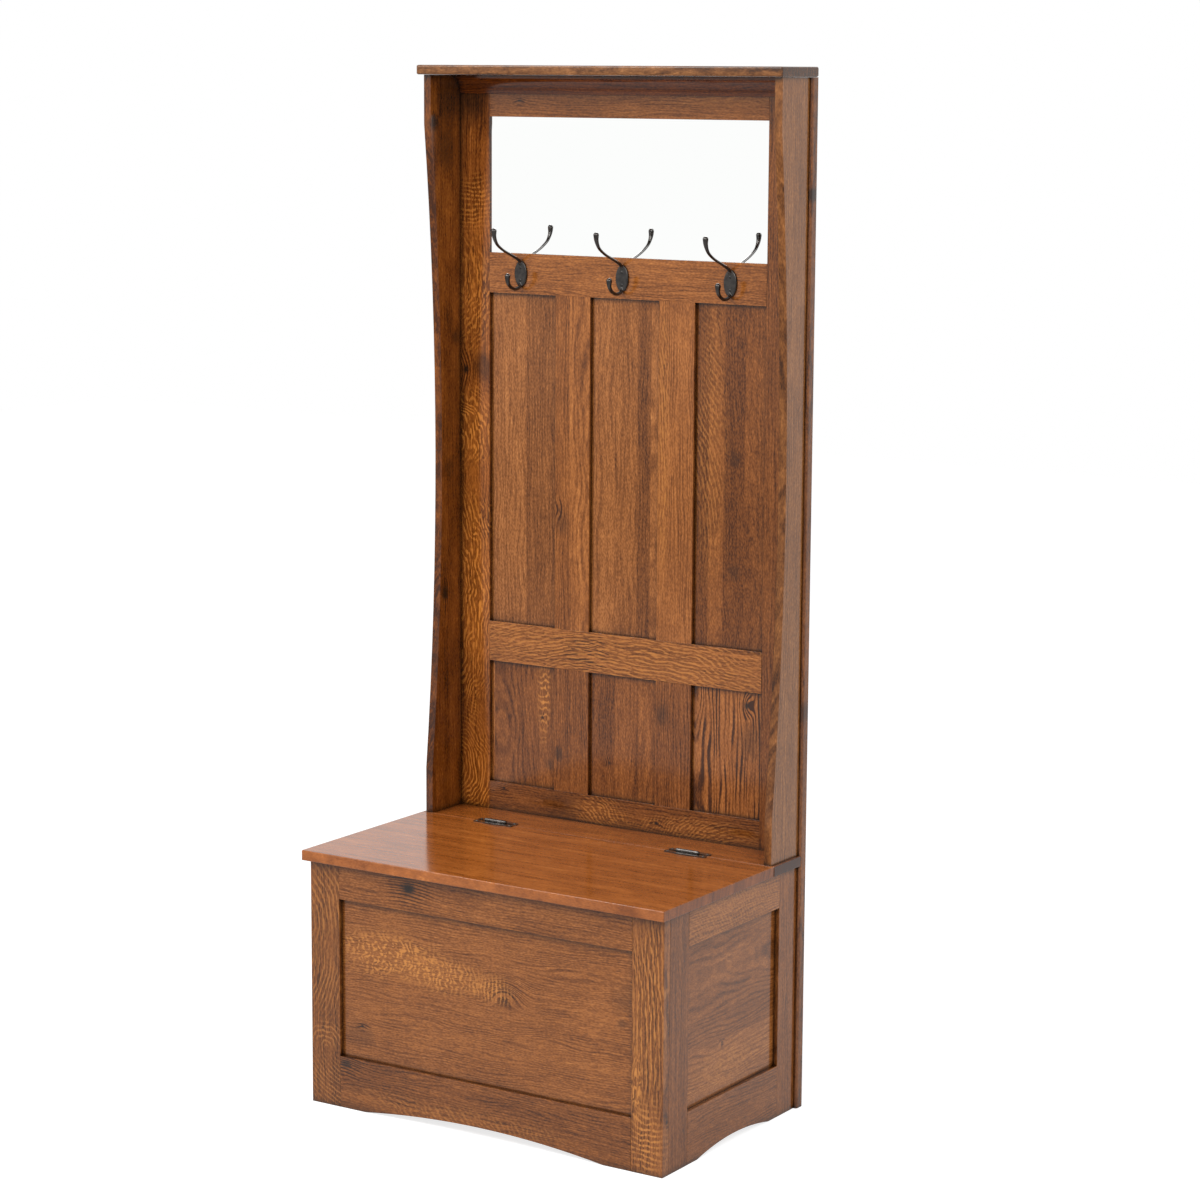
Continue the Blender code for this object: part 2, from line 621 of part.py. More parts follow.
def build_top(nodes):
    """Cap board and the cove moulding under it."""
    cap = board("cap_board", (-HALF_W, HALF_W), (CAP_FRONT_Y, BACK_Y), (CAP_Z, HEIGHT), "d")
    ease_edges(cap, CAP_EDGE_R)
    nodes[cap.name] = finish(cap, OAK)

    back = FACE_Y - HALF_GAP
    high = CAP_Z - HALF_GAP
    low = CAP_Z - CROWN_DROP
    cove_top = CAP_Z - CROWN_TOP_FILLET
    cove_foot = low + CROWN_LOW_FILLET
    cove_in = CROWN_COVE_OUT - CROWN_FOOT
    cove_high = cove_top - cove_foot
    cove = []
    for along, across in arc((0.0, 0.0), 1.0, 90, 180, COVE_STEPS):
        cove.append((FACE_Y - CROWN_COVE_OUT - cove_in * along, cove_foot + cove_high * across))
    outline = [(back, low), (back, high), (FACE_Y - CROWN_OUT, high), (FACE_Y - CROWN_OUT, cove_top)]
    outline += cove
    outline.append((FACE_Y - CROWN_FOOT, low))
    span = WING_IN - HALF_GAP
    crown = prism("crown_moulding", outline, "X", (-span, span), (0.0, FACE_Y, CAP_Z))
    nodes[crown.name] = finish(crown, OAK)
    smooth(crown, 30.0)


def build_seat(nodes):
    strip = board("seat_strip", (-HALF_W, HALF_W), (STRIP_Y, FACE_Y), (CHEST_Z, SEAT_Z), "bdu")
    ease_edges(strip, BOARD_EDGE_R)
    nodes[strip.name] = finish(strip, OAK)
    lid = board("lid", (-HALF_W, HALF_W), (FRONT_Y, LID_BACK_Y), (CHEST_Z, SEAT_Z), "d")
    ease_edges(lid, BOARD_EDGE_R)
    nodes[lid.name] = finish(lid, OAK)


def leaf_outline(toward):
    """Half of the hinge's outline, from the axis outwards on one side of it."""
    edge = BARREL_R + CLEAR
    lobe = (LEAF_LOBE_X, LEAF_LOBE_Y)
    half = arc(lobe, LEAF_LOBE_R, -60, 130, 8)
    rise = LEAF_D - LEAF_SHOULDER_Y
    radius = (LEAF_SHOULDER_X ** 2 + rise ** 2) / (2 * rise)
    sweep = math.degrees(math.asin(LEAF_SHOULDER_X / radius))
    crest = arc((0.0, LEAF_D - radius), radius, 90 - sweep, 90 + sweep, 6)
    right = [(BARREL_L / 2, edge)] + half + crest
    mirrored = [(-x, y) for x, y in reversed([(BARREL_L / 2, edge)] + half)]
    return [(x, toward * y) for x, y in right + mirrored]


def knuckle_spans(own):
    """X ranges of one leaf's knuckles: even ones on the strip, odd ones on the lid."""
    pitch = BARREL_L / KNUCKLES
    spans = []
    for count in range(own, KNUCKLES, 2):
        start = -BARREL_L / 2 + count * pitch
        spans.append((start + HALF_GAP, start + pitch - HALF_GAP))
    return spans


def rod(name, x, radius, centre, sides=16):
    """A round bar along X."""
    work = bmesh.new()
    turn = Matrix.Rotation(math.radians(90), 4, "Y")
    place = Matrix.Translation(((x[0] + x[1]) / 2, centre[0], centre[1]))
    bmesh.ops.create_cone(work, cap_ends=True, segments=sides, radius1=radius, radius2=radius,
                          depth=x[1] - x[0], matrix=place @ turn)
    return object_from(name, work, ((x[0] + x[1]) / 2, centre[0], centre[1]))


def build_hinge(nodes, side, middle):
    axis = (HINGE_AXIS_Y, HINGE_AXIS_Z)
    base = SEAT_Z + CLEAR
    bore_r = PIN_R + CLEAR
    for part, toward, own in (("leaf_fixed", 1, 0), ("leaf_lid", -1, 1)):
        name = "hinge_" + side + "_" + part
        outline = [(middle + x, HINGE_AXIS_Y + y) for x, y in leaf_outline(toward)]
        leaf = prism(name, outline, "Z", (base, base + LEAF_T), (middle, *axis))
        web = sorted((HINGE_AXIS_Y + toward * 2 * BARREL_R, HINGE_AXIS_Y))
        for count, (x0, x1) in enumerate(knuckle_spans(own)):
            x = (middle + x0, middle + x1)
            join_box(leaf, "web_" + str(count), x, web, (base, base + LEAF_T))
            join(leaf, guide(rod(name + "_knuckle_" + str(count), x, BARREL_R, axis)))
        for count, (x0, x1) in enumerate(knuckle_spans(1 - own)):
            x = (middle + x0 - CLEAR, middle + x1 + CLEAR)
            cut(leaf, guide(rod(name + "_relief_" + str(count), x, BARREL_R + CLEAR, axis)))
        ends = (middle - BARREL_L, middle + BARREL_L)
        cut(leaf, guide(rod(name + "_bore", ends, bore_r, axis)))
        for label, sign in (("hole_left", -1), ("hole_right", 1)):
            place = (middle + sign * LEAF_LOBE_X, HINGE_AXIS_Y + toward * LEAF_LOBE_Y, base + LEAF_T)
            cut(leaf, guide(screw_shape(name + "_" + label, place, (0.0, 0.0, -1.0), HINGE_SCREW, CLEAR)))
        nodes[name] = finish(leaf, BRONZE, metallic=0.9, roughness=0.45)
    half = BARREL_L / 2 + CLEAR
    pin = rod("hinge_" + side + "_pin", (middle - half - PIN_HEAD_H / 2, middle + half + PIN_HEAD_H / 2),
              PIN_R, axis)
    for label, sign in (("head_left", -1), ("head_right", 1)):
        x = sorted((middle + sign * half, middle + sign * (half + PIN_HEAD_H)))
        join(pin, guide(rod(pin.name + "_" + label, x, PIN_HEAD_R, axis)))
    nodes[pin.name] = finish(pin, BRONZE, metallic=0.9, roughness=0.45)


def build_hinges(nodes):
    build_hinge(nodes, "left", HINGE_INSET_LEFT - CHEST_HALF)
    build_hinge(nodes, "right", CHEST_HALF - HINGE_INSET_RIGHT)


def smooth_path(controls):
    """Points along an arm through its control points, with a domed end."""
    knots = [Vector(point) * INCH for point in controls]
    knots = [2 * knots[0] - knots[1]] + knots + [2 * knots[-1] - knots[-2]]
    points = []
    for first, second, third, fourth in zip(knots, knots[1:], knots[2:], knots[3:]):
        for count in range(ARM_STEPS):
            t = count / ARM_STEPS
            points.append(0.5 * (2 * second + (third - first) * t
                                 + (2 * first - 5 * second + 4 * third - fourth) * t * t
                                 + (3 * second - first - 3 * third + fourth) * t * t * t))
    end = knots[-2]
    points.append(end)
    radius = end[2]
    ahead = end - points[-2]
    ahead[2] = 0.0
    ahead.normalize()
    for angle in (35, 65, 85):
        turn = math.radians(angle)
        step = end + ahead * radius * math.sin(turn)
        step[2] = radius * math.cos(turn)
        points.append(step)
    return points


def arm_object(name, controls, middle):
    """A tapering round arm swept along its path in the plane of the hook."""
    curve = bpy.data.curves.new(name, "CURVE")
    curve.dimensions = "3D"
    curve.bevel_depth = 1.0
    curve.bevel_resolution = (ARM_SIDES - 4) // 2
    curve.use_fill_caps = True
    path = smooth_path(controls)
    spline = curve.splines.new("POLY")
    spline.points.add(len(path) - 1)
    for point, step in zip(spline.points, path):
        point.co = (middle, FACE_Y - step[0], HOOK_Z + step[1], 1.0)
        point.radius = step[2]
    source = bpy.data.objects.new(name + "_curve", curve)
    bpy.context.scene.collection.objects.link(source)
    bpy.context.view_layer.update()
    work = bmesh.new()
    work.from_mesh(source.to_mesh())
    source.to_mesh_clear()
    bpy.data.objects.remove(source)
    bmesh.ops.remove_doubles(work, verts=work.verts, dist=1e-6)
    return guide(object_from(name, work))


def build_hook(nodes, side, middle):
    work = bmesh.new()
    back = FACE_Y - CLEAR
    front = FACE_Y - HOOK_PLATE_T
    turn = Matrix.Rotation(math.radians(90), 4, "X")
    shape = Matrix.Diagonal((PLATE_W / 2, 1.0, PLATE_H / 2, 1.0))
    place = Matrix.Translation((middle, (back + front) / 2, HOOK_Z)) @ shape @ turn
    bmesh.ops.create_cone(work, cap_ends=True, segments=28, radius1=1.0, radius2=1.0,
                          depth=back - front, matrix=place)
    rim = [edge for edge in work.edges
           if all(vert.co.y < (back + front) / 2 for vert in edge.verts)]
    bmesh.ops.bevel(work, geom=rim, offset=PLATE_RIM, offset_type="OFFSET", segments=2,
                    profile=0.5, affect="EDGES", material=-1)
    hook = object_from("hook_" + side, work, (middle, FACE_Y, HOOK_Z))
    join(hook, arm_object(hook.name + "_upper", UPPER_ARM, middle))
    join(hook, arm_object(hook.name + "_lower", LOWER_ARM, middle))
    cut_box(hook, "seat", (middle - PLATE_W, middle + PLATE_W), (back, back + PLATE_H),
            (HOOK_Z - PLATE_H, HOOK_Z + PLATE_H))
    smooth(hook)
    nodes[hook.name] = finish(hook, BRONZE, metallic=0.9, roughness=0.4)


def build_hooks(nodes):
    places = (("left", HOOK_INSET_LEFT - BACK_IN), ("middle", MIDDLE_HOOK_X),
              ("right", BACK_IN - HOOK_INSET_RIGHT))
    for side, middle in places:
        build_hook(nodes, side, middle)
        through = (nodes["hook_" + side], nodes["rail_hook"])
        for label, height in (("upper", HOOK_SCREW_UP), ("lower", -HOOK_SCREW_DOWN)):
            place = (middle, FACE_Y - HOOK_PLATE_T, HOOK_Z + height)
            name = "hook_screw_" + side + "_" + label
            nodes[name] = drive_screw(name, place, (0.0, 1.0, 0.0), HOOK_SCREW, through)


def build_lid_axis(nodes):
    """An empty on the hinge axis carries everything that turns with the lid."""
    axis = bpy.data.objects.new("lid_axis", None)
    axis.location = (0.0, HINGE_AXIS_Y, HINGE_AXIS_Z)
    bpy.context.scene.collection.objects.link(axis)
    names = ("lid", "hinge_left_leaf_lid", "hinge_right_leaf_lid")
    hang_on(axis, [nodes[name] for name in names])


def main():
    clear_scene()
    nodes = build_back()
    build_chest(nodes)
    build_wings(nodes)
    build_top(nodes)
    build_seat(nodes)
    build_hinges(nodes)
    build_hooks(nodes)
    build_lid_axis(nodes)


main()
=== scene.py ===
"""Hall bench in stained oak: the finish of every board, the hardware, the mirror and the studio."""
import json
import math

import bmesh
import bpy
from mathutils import Matrix, Vector


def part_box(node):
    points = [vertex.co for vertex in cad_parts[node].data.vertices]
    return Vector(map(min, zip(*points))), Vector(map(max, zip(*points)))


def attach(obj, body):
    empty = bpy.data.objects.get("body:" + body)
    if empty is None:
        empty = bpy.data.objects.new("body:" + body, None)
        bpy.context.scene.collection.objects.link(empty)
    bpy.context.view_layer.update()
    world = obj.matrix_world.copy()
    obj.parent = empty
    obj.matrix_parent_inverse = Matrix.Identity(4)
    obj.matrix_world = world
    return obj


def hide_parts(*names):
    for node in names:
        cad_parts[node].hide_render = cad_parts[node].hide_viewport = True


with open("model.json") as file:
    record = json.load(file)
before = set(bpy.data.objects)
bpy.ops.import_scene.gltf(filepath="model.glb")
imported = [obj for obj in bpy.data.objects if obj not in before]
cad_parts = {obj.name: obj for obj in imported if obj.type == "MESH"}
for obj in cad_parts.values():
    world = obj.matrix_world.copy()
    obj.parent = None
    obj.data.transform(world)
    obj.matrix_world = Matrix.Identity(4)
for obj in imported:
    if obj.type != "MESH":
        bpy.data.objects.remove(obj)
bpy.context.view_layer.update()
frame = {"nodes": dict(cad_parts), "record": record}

MM = 0.001
INCH = 0.0254
scene = bpy.context.scene


# Colour and shader helpers.

SMOOTH_STEP = {"interpolation_type": "SMOOTHSTEP"}
COLOUR_MIX = {"data_type": "RGBA"}
MIX_UNDER, MIX_OVER, MIXED = 6, 7, 2  # The colour sockets of a Mix node, which share their names with others.


def rgb(code):
    """An sRGB hex colour as linear red, green, blue and alpha."""
    parts = [int(code[i:i + 2], 16) / 255 for i in (1, 3, 5)]
    return tuple(c / 12.92 if c <= 0.04045 else ((c + 0.055) / 1.055) ** 2.4 for c in parts) + (1.0,)


def add(tree, kind, options=None, inputs=None):
    """Add one node with its options; each of its inputs is a value or another node.

    Two options are a colour ramp's: stops are its places and shades, and steps keeps each shade flat.
    """
    node = tree.nodes.new(kind)
    for name, value in (options or {}).items():
        if name == "stops":
            for _ in value[2:]:
                node.color_ramp.elements.new(0.5)
            for element, (position, shade) in zip(node.color_ramp.elements, value):
                element.position = position
                element.color = shade if isinstance(shade, tuple) else (shade, shade, shade, 1.0)
        elif name == "steps":
            node.color_ramp.interpolation = "CONSTANT" if value else "LINEAR"
        else:
            setattr(node, name, value)
    for name, value in (inputs or {}).items():
        if isinstance(value, bpy.types.Node):
            value = value.outputs[0]
        if isinstance(value, bpy.types.NodeSocket):
            tree.links.new(value, node.inputs[name])
        else:
            node.inputs[name].default_value = value
    return node


def new_material(name, **finish):
    """A material with only its output and a Principled shader, returned with its tree and that shader."""
    mat = bpy.data.materials.new(name)
    mat.use_nodes = True
    tree = mat.node_tree
    tree.nodes.clear()
    shader = add(tree, "ShaderNodeBsdfPrincipled", inputs={key.replace("_", " "): finish[key] for key in finish})
    add(tree, "ShaderNodeOutputMaterial", inputs={"Surface": shader})
    return mat, tree, shader


# Stained white oak, quarter-sawn, under satin lacquer. The stain settles in the open grain and leaves the
# hard wood and the ray flecks golden; the lacquer gives every board a soft sheen of its own.

OAK_TONES = [(0.0, rgb("#3A1B04")), (0.2, rgb("#5B2F0B")), (0.5, rgb("#814A1D")), (0.8, rgb("#A66630")),
             (1.0, rgb("#C48343"))]
PLY_TONES = [(0.0, rgb("#7A5733")), (0.4, rgb("#A8814F")), (0.7, rgb("#C09A68")), (1.0, rgb("#D0AD7D"))]
RAY_GOLD = rgb("#BE7B38")
KNOT_BLACK = rgb("#1E120B")
# The colour of the painted shade in corners and recesses.
PAINTED_SHADE_BROWN = rgb("#241002")
MIDDLE_TONE = 0.5
WOOD_ROUGHNESS = 0.6
COAT_ROUGHNESS = 0.14
AXES = {"X": 0, "Y": 1, "Z": 2}

# Clouds of noise drawn out along the grain: the length and width of their features in mm, and their detail.
BLOTCH_CLOUD = (110.0, 45.0, 3.0)  # Patches that took more stain.
MOTTLE_CLOUD = (26.0, 8.0, 2.0)
FIBRE_CLOUD = (22.0, 1.5, 1.0)
GRIT_CLOUD = (5.0, 1.8, 0.0)
PORE_CLOUD = (14.0, 1.2, 1.0)
PACE_CLOUD = (200.0, 30.0, 1.0)  # How closely the growth rings follow each other.
PLAIN_CLOUD = (120.0, 30.0, 1.0)  # Where the rings hardly show.
BREAK_CLOUD = (15.0, 3.4, 2.0)  # Where the ray flecks break off.
STREAK_LENGTH = 300.0
CLOUD_ROUGHNESS = 0.55

# How the grain wanders: the length and width of a bend in mm. The quick bends reach a share of the slow ones.
SLOW_BEND = (160.0, 45.0)
QUICK_BEND = (30.0, 10.0)
QUICK_SHARE = 0.15
FLECK_BEND = (60.0, 25.0)
FLECK_BEND_REACH = 5.0
NEW_BOARD = 731.0  # The step along the tree from one board to the next, in mm.
NEW_STRIP = (9170.0, 310.0, 90.0)  # The step from one glued-up strip to the next, in mm for a tone of 1.

# The growth rings' dark lines. Their pace varies, plain patches show them faintly, and knots strongly.
PACE_CHANGE = 30.0
LINE_FROM = -0.3  # Where a line begins on the rings' wave, which runs from -1 to 1.
LINE_MEAN = 0.3
PLAIN_FROM, PLAIN_TO = 0.4, 0.62
PLAIN_LINES = 0.25
KNOT_LINES = 2.5
KNOT_RINGS = 5.0  # How many of a knot's radii away the rings are straight again.

# Knots, smudges, patches of painted shade and fleck patches are ellipses with ragged rims. A stretch is an
# ellipse's length over its breadth, and a core and a rim, in half axes, are where it begins to fade and where it
# ends.
RING_STRETCH = 1.5
SPOT_STRETCH = 1.4
SPOT_RAGGED = 1.2
SPOT_CORE = 0.9
SPOT_RIM = 2.0
FLECK_RIM = 1.9
FLECK_GROUND = 0.06  # How much gold shows between the lines of a fleck patch.
FLECK_FLATNESS = 0.6  # A swirl's breadth over its length.
FLECK_STEP = 1.2  # How softly a line fades.

# Painted shade in the corners, full where a place is shut in and none where it is open, and the lacquer's fine
# dents.
CORNER_REACH = 16 * MM
CORNER_SHADE_STRENGTH = 1.0
CORNER_FULL, CORNER_NONE = 0.35, 0.93
CORNER_RAYS = 6
PORE_DEPTH = 0.1 * MM
PORE_STRENGTH = 0.3


def board_space(tree, node, grain):
    """Board coordinates in millimetres from the board's middle: along the grain, across it, into it.

    Returned with the board's width and the number of the axis that runs across it.
    """
    low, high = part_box(node)
    size = high - low
    along = AXES[grain]
    others = sorted((axis for axis in range(3) if axis != along), key=lambda axis: -size[axis])
    order = (along, others[0], others[1])
    middle = (low + high) / 2
    place = add(tree, "ShaderNodeTexCoord")
    split = add(tree, "ShaderNodeSeparateXYZ", inputs={"Vector": place.outputs["Object"]})
    joined = add(tree, "ShaderNodeCombineXYZ", inputs={k: split.outputs[order[k]] for k in range(3)})
    centred = add(tree, "ShaderNodeMapping", inputs={
        "Vector": joined, "Location": tuple(-middle[axis] / MM for axis in order), "Scale": (1 / MM,) * 3})
    return centred, size[others[0]] / MM, others[0]


def grain_cloud(tree, space, length, width, detail=2.0):
    """Noise drawn out along the grain, with features of the given length and width in millimetres."""
    drawn = add(tree, "ShaderNodeMapping", inputs={"Vector": space, "Scale": (1 / length, 1 / width, 1 / width)})
    return add(tree, "ShaderNodeTexNoise", inputs={
        "Vector": drawn, "Scale": 1.0, "Detail": detail, "Roughness": CLOUD_ROUGHNESS})


def wander(tree, space, length, width, reach):
    """The same place, pushed sideways by up to reach millimetres, as a fibre wanders."""
    push = grain_cloud(tree, space, length, width)
    aside = add(tree, "ShaderNodeVectorMath", {"operation": "MULTIPLY_ADD"}, {
        0: push.outputs["Color"], 1: (0.0, 2 * reach, 2 * reach), 2: (0.0, -reach, -reach)})
    return add(tree, "ShaderNodeVectorMath", {"operation": "ADD"}, {0: space, 1: aside})


def spot_distance(tree, space, place, reach, ragged):
    """Distance from a spot on the board's face: 1 on the ellipse with the given half axes, with a ragged rim."""
    scaled = add(tree, "ShaderNodeMapping", inputs={
        "Vector": space, "Location": (-place[0] / reach[0], -place[1] / reach[1], 0.0),
        "Scale": (1 / reach[0], 1 / reach[1], 0.0)})
    away = add(tree, "ShaderNodeVectorMath", {"operation": "LENGTH"}, {0: scaled})
    return add(tree, "ShaderNodeMath", {"operation": "MULTIPLY_ADD"}, {
        0: ragged, 1: SPOT_RAGGED, 2: away.outputs["Value"]})


def glued_strips(tree, space, width, tone, strips):
    """The tone of a board glued up from strips, and the place in the tree that each strip was cut from."""
    split = add(tree, "ShaderNodeSeparateXYZ", inputs={"Vector": space})
    share = add(tree, "ShaderNodeMath", {"operation": "MULTIPLY_ADD"}, {
        0: split.outputs["Y"], 1: 1 / width, 2: 0.5})
    stops = [(max(0.0, 0.5 + lower / width), tone + shade) for lower, shade in strips]
    strip_tone = add(tree, "ShaderNodeValToRGB", {"stops": stops, "steps": True}, {"Fac": share})
    shift = add(tree, "ShaderNodeVectorMath", {"operation": "SCALE"}, {0: NEW_STRIP, "Scale": strip_tone})
    return strip_tone, add(tree, "ShaderNodeVectorMath", {"operation": "ADD"}, {0: space, 1: shift})


def ring_radius(tree, space, bent, heart, knots):
    """The radius of the growth ring at each place, swollen round the knots, and how near a knot it is."""
    from_heart = add(tree, "ShaderNodeVectorMath", {"operation": "MULTIPLY_ADD"}, {
        0: bent, 1: (0.0, 1.0, 1.0), 2: (0.0, -heart[0], heart[1])})
    radius = add(tree, "ShaderNodeVectorMath", {"operation": "LENGTH"}, {0: from_heart}).outputs["Value"]
    nearest = 0.0
    for along, across, reach, _, swell in knots:
        away = spot_distance(tree, space, (along, across), (RING_STRETCH * reach, reach), 0.0)
        push = add(tree, "ShaderNodeMapRange", SMOOTH_STEP, {
            "Value": away, "From Min": 0.0, "From Max": KNOT_RINGS, "To Min": swell, "To Max": 0.0})
        radius = add(tree, "ShaderNodeMath", {"operation": "ADD"}, {0: radius, 1: push})
        near = add(tree, "ShaderNodeMapRange", SMOOTH_STEP, {
            "Value": away, "From Min": 1.0, "From Max": KNOT_RINGS, "To Min": KNOT_LINES, "To Max": 0.0})
        nearest = add(tree, "ShaderNodeMath", {"operation": "MAXIMUM"}, {0: nearest, 1: near})
    return radius, nearest


def ring_lines(tree, placed, ringed, radius, ring, near_knot):
    """The dark lines of open grain that the growth rings draw: 1 on a line, 0 between two."""
    pace = grain_cloud(tree, ringed, *PACE_CLOUD)
    count = add(tree, "ShaderNodeMath", {"operation": "MULTIPLY"}, {0: radius, 1: 2 * math.pi / ring})
    angle = add(tree, "ShaderNodeMath", {"operation": "MULTIPLY_ADD"}, {0: pace, 1: PACE_CHANGE, 2: count})
    late_wood = add(tree, "ShaderNodeMapRange", SMOOTH_STEP, {
        "Value": add(tree, "ShaderNodeMath", {"operation": "SINE"}, {0: angle}),
        "From Min": LINE_FROM, "From Max": 1.0})
    plain = add(tree, "ShaderNodeMapRange", SMOOTH_STEP, {
        "Value": grain_cloud(tree, placed, *PLAIN_CLOUD), "From Min": PLAIN_FROM, "From Max": PLAIN_TO,
        "To Min": 1.0, "To Max": PLAIN_LINES})
    shown = add(tree, "ShaderNodeMath", {"operation": "MAXIMUM"}, {0: near_knot, 1: plain})
    return add(tree, "ShaderNodeMath", {"operation": "MULTIPLY"}, {0: late_wood, 1: shown})


def with_flecks(tree, colour, space, placed, blotch, flecks):
    """The colour with patches of golden ray flecks over it: broken lines that curve round a point."""
    roam = wander(tree, space, *FLECK_BEND, FLECK_BEND_REACH)
    for place, reach, swirl, pitch, centre, strength, bend, broken in flecks:
        hills = grain_cloud(tree, placed, swirl, FLECK_FLATNESS * swirl, 1.0)
        flat = add(tree, "ShaderNodeMapping", inputs={
            "Vector": roam, "Location": (-centre[0], -centre[1], 0.0), "Scale": (1.0, 1.0, 0.0)})
        away = add(tree, "ShaderNodeVectorMath", {"operation": "LENGTH"}, {0: flat})
        count = add(tree, "ShaderNodeMath", {"operation": "MULTIPLY"}, {
            0: away.outputs["Value"], 1: 2 * math.pi / pitch})
        angle = add(tree, "ShaderNodeMath", {"operation": "MULTIPLY_ADD"}, {
            0: hills, 1: 2 * math.pi * bend, 2: count})
        ripple = add(tree, "ShaderNodeMath", {"operation": "MULTIPLY_ADD"}, {
            0: grain_cloud(tree, placed, *BREAK_CLOUD), 1: broken,
            2: add(tree, "ShaderNodeMath", {"operation": "SINE"}, {0: angle})})
        shown = add(tree, "ShaderNodeMapRange", SMOOTH_STEP, {
            "Value": ripple, "From Min": 0.5 * broken, "From Max": 0.5 * broken + FLECK_STEP,
            "To Min": FLECK_GROUND, "To Max": 1.0})
        rim = spot_distance(tree, space, place, reach, blotch)
        cover = add(tree, "ShaderNodeMapRange", SMOOTH_STEP, {
            "Value": rim, "From Min": SPOT_CORE, "From Max": FLECK_RIM, "To Min": strength, "To Max": 0.0})
        gold = add(tree, "ShaderNodeMath", {"operation": "MULTIPLY"}, {0: shown, 1: cover})
        mix = add(tree, "ShaderNodeMix", COLOUR_MIX, {0: gold, MIX_UNDER: colour, MIX_OVER: RAY_GOLD})
        colour = mix.outputs[MIXED]
    return colour


def with_spots(tree, colour, space, blotch, spots):
    """The colour with the dark cores of knots, and with smudges and patches of painted shade over it."""
    for along, across, reach, darkness in spots:
        rim = spot_distance(tree, space, (along, across), (SPOT_STRETCH * reach, reach), blotch)
        core = add(tree, "ShaderNodeMapRange", SMOOTH_STEP, {
            "Value": rim, "From Min": SPOT_CORE, "From Max": SPOT_RIM, "To Min": darkness, "To Max": 0.0})
        mix = add(tree, "ShaderNodeMix", COLOUR_MIX, {0: core, MIX_UNDER: colour, MIX_OVER: KNOT_BLACK})
        colour = mix.outputs[MIXED]
    return colour


def with_painted_corner_shade(tree, colour):
    """The colour darkened as painted shade in the corners and recesses where boards meet."""
    corner = add(tree, "ShaderNodeAmbientOcclusion", {"samples": CORNER_RAYS}, {"Distance": CORNER_REACH})
    shadow = add(tree, "ShaderNodeMapRange", SMOOTH_STEP, {
        "Value": corner.outputs["AO"], "From Min": CORNER_FULL, "From Max": CORNER_NONE,
        "To Min": CORNER_SHADE_STRENGTH, "To Max": 0.0})
    mix = add(tree, "ShaderNodeMix", COLOUR_MIX, {0: shadow, MIX_UNDER: colour, MIX_OVER: PAINTED_SHADE_BROWN})
    return mix.outputs[MIXED]


